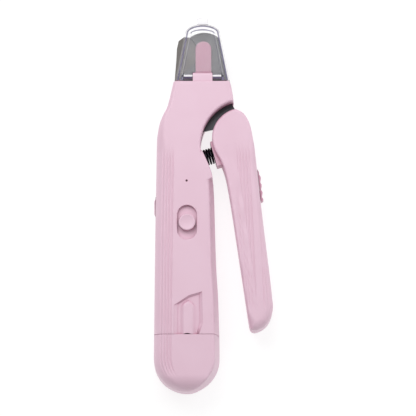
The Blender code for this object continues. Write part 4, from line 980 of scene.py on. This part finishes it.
def lever_shells():
    inner = arc(PIVOT, LEVER_HEAD - WALL, -12, 200, 44) + [
        (0.0172, 0.0300), (0.0212, 0.0235), (0.0231, 0.0117), (0.0253, -0.0014), (0.0299, -0.0320),
        (0.0342, -0.0590), (0.0355, -0.0606), (0.0385, -0.0596), (0.0405, -0.0570), (0.0415, -0.0520),
        (0.0408, -0.0360), (0.0379, -0.0108), (0.0345, 0.0195), (0.0332, 0.0305)]
    sweep = arc(PIVOT, LEVER_HEAD + 0.002, 48, 204, 28) + arc(PIVOT, 0.004, 204, 48, 12)
    wall_reach = SPRING_IN_LEVER + GAP + POCKET_WALL
    places = [on_lever(s, t) for s, t in LEVER_SCREWS]
    tang_places = [on_lever(s, t) for s, t in TANG_SCREWS]

    def shared_tools():
        return (spring_bar(POCKET_RADIUS, -0.004, SPRING_IN_LEVER + GAP),
                plate("blade_gate", sweep, MOVING_BACK - GAP, FIXED_FRONT + GAP))

    front = lever_half("lever_front_shell", 1)
    join(front, spring_seat(1, SEAT_REACH, HALF_GAP))
    room = plate("lever_room", inner, SPLIT - OVER, LEVER_FRONT - WALL)
    cut(room, spring_seat(1, wall_reach, -2 * OVER),
        *bars(places[:1], FIXED_FRONT + GAP, LEVER_FRONT - WALL / 2, BOSS),
        *bars(places[1:], SPLIT + HALF_GAP, LEVER_FRONT - WALL / 2, BOSS))
    cut(front, room)
    low, high = LOCK_STEM[0] - 0.0030 - GAP, LOCK_STEM[1] + GAP
    gate = [on_lever(s, t) for s, t in ((low, 0.006), (high, 0.006), (high, 0.013), (low, 0.013))]
    cut(front, *shared_tools(), plate("lock_gate", gate, SPLIT - OVER, FIXED_FRONT + GAP),
        *bars(places, SPLIT - OVER, LEVER_FRONT - WALL - 0.0005, SCREW + GAP))
    piece(front, "lever", "pink_abs", "pink_abs", "lever_front_shell")

    rear = lever_half("lever_rear_shell", -1)
    join(rear, spring_seat(-1, SEAT_REACH, HALF_GAP))
    room = plate("lever_room", inner, LEVER_BACK + WALL, SPLIT + OVER)
    cut(room, spring_seat(-1, wall_reach, -2 * OVER), *screw_wells(places, LEVER_BACK, SPLIT - HALF_GAP),
        *bars(tang_places, LEVER_BACK + WALL / 2, MOVING_BACK - GAP, BOSS))
    cut(rear, room)
    cut(rear, *shared_tools(), *screw_bores(places, LEVER_BACK, SPLIT + OVER),
        *bars(tang_places, LEVER_BACK + WALL, MOVING_BACK + OVER, SCREW + GAP))
    piece(rear, "lever", "pink_abs", "pink_abs", "lever_rear_shell")


def lever_right(s):
    """How far right of the lever's centre line its outer edge is, s down from the pivot."""
    edge = sorted(off_lever(x, y) for x, y in LEVER_RIGHT)
    for (s0, t0), (s1, t1) in zip(edge, edge[1:]):
        if s <= s1:
            return t0 + (t1 - t0) * (s - s0) / (s1 - s0)
    return edge[-1][1]


def lock_button():
    """The serrated slide on the lever's outer edge, with its stem through the wall."""
    top, bottom = LOCK_SPAN
    low, high = lever_right(top) + GAP, lever_right(bottom) + GAP
    waves = []
    for i in range(1, 73):
        share = i / 73
        wave = 0.76 + 0.24 * math.cos(math.tau * (share - 0.29) / 0.226)
        rise = LOCK_RISE * wave * ease(share, 0.0, 0.22) * min(1.0, 40 * (1 - share))
        waves.append((top + (bottom - top) * share, low + (high - low) * share + rise))
    outline = [(top, low), *waves, (bottom, high)]
    outline = [on_lever(s, t) for s, t in reversed(outline)]
    button = plate("lock_button", outline, SPLIT - LOCK_HEIGHT / 2, SPLIT + LOCK_HEIGHT / 2)
    apply_step(button, "BEVEL", width=0.0004, segments=3, limit_method="ANGLE", angle_limit=math.radians(60))
    stem = [(LOCK_STEM[0], 0.0075), (LOCK_STEM[1], 0.0075), (LOCK_STEM[1], high + LOCK_RISE / 3),
            (LOCK_STEM[0], high + LOCK_RISE / 3)]
    join(button, plate("stem", [on_lever(s, t) for s, t in stem], FIXED_BACK, FIXED_FRONT))
    piece(button, "lock", "rose_abs", "pink_abs", "lock_button")


def lever_spring():
    """A round-wire compression spring, its wire section swept up a screw."""
    coil = SPRING_RADIUS - SPRING_WIRE / 2
    bpy.ops.object.select_all(action="DESELECT")
    bpy.ops.mesh.primitive_circle_add(vertices=12, radius=SPRING_WIRE / 2, location=(coil, 0, 0),
                                      rotation=(RIGHT_ANGLE, 0, 0))
    spring = bpy.context.object
    spring.name = "lever_spring"
    bpy.ops.object.transform_apply(location=True, rotation=True, scale=True)
    length = SPRING_IN_BODY + SPRING_IN_LEVER - SPRING_WIRE
    apply_step(spring, "SCREW", axis="Z", angle=math.tau * SPRING_TURNS, screw_offset=length,
               steps=int(28 * SPRING_TURNS), render_steps=int(28 * SPRING_TURNS), use_normal_calculate=True)
    with edit_mode():
        bpy.ops.mesh.fill_holes(sides=0)
        bpy.ops.mesh.normals_make_consistent(inside=False)
    start = SPRING_WIRE / 2 - SPRING_IN_BODY
    put(spring, (0, 0, start))
    put(spring, (*SPRING_FACE, SPLIT), ALONG_SPRING)
    piece(spring, "spring", "spring_steel", "dark_steel", "lever_spring", smooth=60)


# ---- Head ------------------------------------------------------------------


def cover_outline(inset, base, steps=40):
    """The cover in front view: straight sides drawn in to a low elliptical dome."""
    half, rise = COVER_TOP - inset, COVER_RISE - inset
    dome = [(COVER_CENTRE + half * x, COVER_SHOULDER_Y + rise * y) for x, y in arc((0, 0), 1.0, 0, 180, steps)]
    return [(COVER_CENTRE - COVER_BASE + inset, base), (COVER_CENTRE + COVER_BASE - inset, base), *dome]


def clear_cover():
    """A clear hood with a thumb tab; the dark and white bands that its thick wall makes by turning the light are
    painted on its rim, and the tab is painted white.
    """
    base = HEAD_Y + 2 * GAP
    face = [(cover_outline(inset, base), COVER_FRONT - drop) for inset, drop in quarter(COVER_RIM, 4) + COVER_BANDS]
    cover = stacked("clear_cover", (cover_outline(0, base), COVER_BACK), *face)
    tab_y = COVER_SHOULDER_Y + COVER_RISE
    tab = box("tab", (COVER_CENTRE - TAB_HALF_WIDTH, tab_y - 0.0004, COVER_FRONT - 0.0020),
              (COVER_CENTRE + TAB_HALF_WIDTH, tab_y + TAB_LENGTH, COVER_FRONT - 0.0001))
    join(cover, rounded(tab, 0.0003))
    low, high = SIDE_KNUCKLES[0][0] - GAP, SIDE_KNUCKLES[1][1] + GAP
    cut(cover, stacked("cover_room", (cover_outline(COVER_WALL, base - OVER), COVER_BACK - OVER),
                       (cover_outline(COVER_WALL + 0.0003, base - OVER), COVER_FRONT - COVER_FACE)),
        box("knuckle_room", (low, base - OVER, COVER_BACK - OVER),
            (high, HINGE_Y + KNUCKLE + GAP, COVER_FRONT + OVER)))
    knuckles = []
    for left, right in SIDE_KNUCKLES:
        profile = arc((HINGE_Y, HINGE_Z), KNUCKLE, 90, 270, 16)
        reach = HINGE_Y + KNUCKLE + GAP + 0.0010
        profile += [(reach, COVER_FRONT - COVER_FACE), (reach, COVER_FRONT - 0.0002)]
        knuckles.append(rolled("knuckle", [[(x, y, z) for y, z in profile] for x in (left, right)]))
    join(cover, *knuckles)
    cut(cover, hinge_bar(HINGE_PIN + GAP / 2, low - OVER, high + OVER))
    piece(cover, "cover", "clear_plastic", "clear_plastic", "clear_cover")

    # Painted refraction: the groove and the fine line get the painted dark band, the band between them and the whole
    # tab get the painted white
    for name in ("dark_refraction_paint", "white_refraction_paint"):
        cover.data.materials.append(FINISHES[name])
    groove, band, line, end = (COVER_BANDS[i][0] for i in (0, 3, 4, 7))
    places = np.array([tuple(face.center[:2]) for face in cover.data.polygons])
    gaps, _ = measure(cover_outline(0, base), places)
    for face, gap in zip(cover.data.polygons, gaps):
        front = face.center.z > COVER_FRONT - 0.0005 and face.area < 1e-5
        if face.center.y > tab_y - 0.0001 or (front and band < gap < line):
            face.material_index = 2
        elif front and (groove < gap < band or line < gap < end):
            face.material_index = 1


def fixed_blade():
    """The front plate with a hollow-ground nail notch; its catch bar reaches down inside the lever."""
    blade = plate("fixed_blade", fixed_blade_outline(), FIXED_BACK, FIXED_FRONT)
    lean = LEAN / 2
    down, right = Vector((math.sin(lean), -math.cos(lean))), Vector((math.cos(lean), math.sin(lean)))
    catch = [tuple(Vector(PIVOT) + down * s + right * t)
             for s, t in ((0.0060, -0.0011), (0.0300, -0.0011), (0.0300, 0.0011), (0.0060, 0.0011))]
    join(blade, plate("catch", catch, FIXED_BACK, FIXED_FRONT))
    wide = NOTCH_RADIUS + 0.0011
    grind = put(turned("grind", [(NOTCH_RADIUS - 0.0001, FIXED_BACK + 0.0006), (wide, FIXED_FRONT + 0.00001),
                                 (wide, FIXED_FRONT + OVER)], 64), (*NOTCH_CENTRE, 0))
    wide, narrow = SCREW * 2 + GAP * 1.4, SCREW + GAP
    profile = [(wide, FIXED_BACK - OVER), (wide, FIXED_BACK), (narrow, FIXED_BACK + BLADE * 0.5 + GAP),
               (narrow, FIXED_FRONT + OVER)]
    holes = [put(turned("blade_hole", profile), (*place, 0)) for place in BLADE_SCREWS]
    cut(blade, grind, bar(PIVOT, 0, BODY_DEPTH, PIVOT_PIN + GAP, 32), *holes)
    piece(blade, "housing", "bright_steel", "bright_steel", "fixed_blade")
    blade.data.materials.append(FINISHES["dark_steel"])
    for face in blade.data.polygons:
        if 0.1 < face.normal.z < 0.95:
            face.material_index = 1


def nail_stop():
    """A tongue with a round end, its edges softened."""
    x, _ = STOP_CENTRE
    foot = HEAD_Y - 0.0088
    outline = arc(STOP_CENTRE, STOP_HALF_WIDTH, 0, 180, 40)
    outline += [(x - STOP_HALF_WIDTH, foot), (x + STOP_HALF_WIDTH, foot)]
    stop = rounded(plate("nail_stop", outline, STOP_BACK, STOP_FRONT), 0.0005)
    piece(stop, "housing", "rose_abs", "pink_abs", "nail_stop")


# ---- Controls --------------------------------------------------------------


def switch_knob():
    """A round knob with a soft rim and a dished thumb face."""
    rim, dish = 0.0006, 0.0033
    low = SHUTTER_FRONT + GAP
    profile = [(KNOB_RADIUS, low)] + [(KNOB_RADIUS - inset, KNOB_TOP - drop) for inset, drop in quarter(rim, 5)]
    profile += [(dish + 0.0002, KNOB_TOP - 0.00003), (dish, KNOB_TOP - 0.0001)]
    profile += [(dish * (1 - i / 6), KNOB_TOP - 0.0001 - 0.0003 * math.sin(RIGHT_ANGLE * i / 6)) for i in range(1, 6)]
    knob = put(turned("switch_knob", profile, 64), (*SLOT_CENTRE, 0))
    piece(knob, "speed_switch", "pink_abs", "pink_abs", "switch_knob")


def light_button():
    """A domed key in the left edge with a soft seal round it."""
    place = (along(LEFT_EDGE, BUTTON_Y), BUTTON_Y, SPLIT)

    def ring_at(inset, height):
        return racetrack(BUTTON_LENGTH - 2 * inset, BUTTON_HEIGHT - 2 * inset, 16), height

    layers = [ring_at(0, WALL + 0.0008), ring_at(0, -0.0002)]
    layers += [ring_at(0.0016 * i / 6, -0.0002 - (BUTTON_RISE - 0.0002) * math.sin(RIGHT_ANGLE * i / 6))
               for i in range(1, 7)]
    key = put(stacked("light_button", *layers), place, ACROSS)
    piece(key, "light_key", "deep_pink_abs", "deep_pink_abs", "light_button")
    grow = GAP + SEAL
    outer = [(racetrack(BUTTON_LENGTH + 2 * grow - 2 * i, BUTTON_HEIGHT + 2 * grow - 2 * i, 16), z)
             for i, z in ((0, WALL - 0.0003), (0, 0.0), (0.0001, -0.00015), (0.0003, -0.0002))]
    seal = put(stacked("light_button_seal", *outer), place, ACROSS)
    cut(seal, side_tool(BUTTON_LENGTH + 2 * GAP, BUTTON_HEIGHT + 2 * GAP, BUTTON_Y, -OVER, WALL + OVER))
    piece(seal, "housing", "dark_rubber", "dark_rubber", "light_button_seal")


def screws():
    """Pan-head screws with a cross recess, modelled once and copied to each well in the back."""
    for prefix, body, head_z, tip_z, places in (
            ("housing_screw", "housing", SINK, INNER_FRONT - 0.0030, HOUSING_SCREWS),
            ("lever_screw", "lever", LEVER_BACK + SINK, LEVER_FRONT - WALL - 0.0010,
             [on_lever(s, t) for s, t in LEVER_SCREWS])):
        profile = [(SCREW_HEAD * 0.55, head_z), (SCREW_HEAD * 0.80, head_z + 0.0001),
                   (SCREW_HEAD * 0.94, head_z + 0.0003), (SCREW_HEAD, head_z + HEAD_DEPTH * 0.4),
                   (SCREW_HEAD, head_z + HEAD_DEPTH), (SCREW, head_z + HEAD_DEPTH + 0.00001), (SCREW, tip_z - SCREW),
                   (SCREW * 0.4, tip_z)]
        first = turned(prefix, profile, 32)
        arm, reach = 0.00028, 0.0011
        cut(first, box("arm", (-arm, -reach, head_z - OVER), (arm, reach, head_z + 0.0008)),
            box("arm", (-reach, -arm, head_z - OVER), (reach, arm, head_z + 0.0008)))
        for i, place in enumerate(places):
            copy = first.copy()
            copy.data = first.data.copy()
            bpy.context.scene.collection.objects.link(copy)
            put(copy, (*place, 0), (0, 0, math.radians(23 + 31 * i)))
            piece(copy, body, "nickel", "bright_steel", f"{prefix}_{i + 1}")
        bpy.data.objects.remove(first, do_unlink=True)


# ---- Frame nodes that keep their shape --------------------------------------

NODE_FINISHES = {
    "dark_steel": "moving_blade lock_bar",
    "nickel": "pivot_bolt pivot_washer pivot_nut cover_hinge_pin charge_socket motor_can motor_shaft drum_arbor "
              "blade_screw_1 blade_screw_2 tang_screw_1 tang_screw_2",
    "shutter_painted_lighter_abs": "switch_shutter",
    "black_parts": "switch_body light_switch motor_end_bell",
    "lamp_epoxy": "indicator_lens grinder_lamp head_lamp",
    "cell_sleeve": "battery_cell",
    "green_board": "circuit_board",
    "dark_rubber": "grinder_collar",
    "grit": "grinding_drum",
}


def paint_nodes():
    for finish_name, names in NODE_FINISHES.items():
        for name in names.split():
            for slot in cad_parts[name].material_slots:
                slot.material = FINISHES[finish_name]


# ---- Stage -----------------------------------------------------------------


def stage():
    bpy.ops.object.select_all(action="DESELECT")
    bpy.ops.mesh.primitive_plane_add(size=6, location=(0, 0, -0.0002))
    floor = bpy.context.object
    floor.name = "studio_floor"
    made, tree, shader, place = finish("matt_white_paper", Roughness=0.9, Emission_Strength=0.80)
    shader.inputs["Emission Color"].default_value = (1, 1, 1, 1)
    fibre = add(tree, "TexNoise", [("Vector", place)], Scale=20.0, Detail=2.0)
    paint(tree, shader, fibre.outputs["Fac"], "#8c8c8c", "#929292")
    floor.data.materials.append(made)

    world = bpy.data.worlds.new("soft_room")
    bpy.context.scene.world = world
    world.use_nodes = True
    world.node_tree.nodes["Background"].inputs["Color"].default_value = (1, 1, 1, 1)
    world.node_tree.nodes["Background"].inputs["Strength"].default_value = 0.42
    lights = (("key", (-0.20, 0.46, 0.78), 0.7, 4.9), ("fill", (0.48, 0.20, 0.46), 0.4, 0.9))
    for name, place, size, power in lights:
        light = bpy.data.objects.new(name, bpy.data.lights.new(name, "AREA"))
        light.data.size = size
        light.data.energy = power
        light.location = place
        light.rotation_euler = (Vector((0.01, 0, 0)) - Vector(place)).to_track_quat("-Z", "Y").to_euler()
        bpy.context.scene.collection.objects.link(light)
    bpy.context.scene.view_settings.view_transform = "Standard"


front_shell()
rear_shell()
end_cap()
lever_shells()
lock_button()
lever_spring()
clear_cover()
fixed_blade()
nail_stop()
switch_knob()
light_button()
screws()
paint_nodes()
stage()
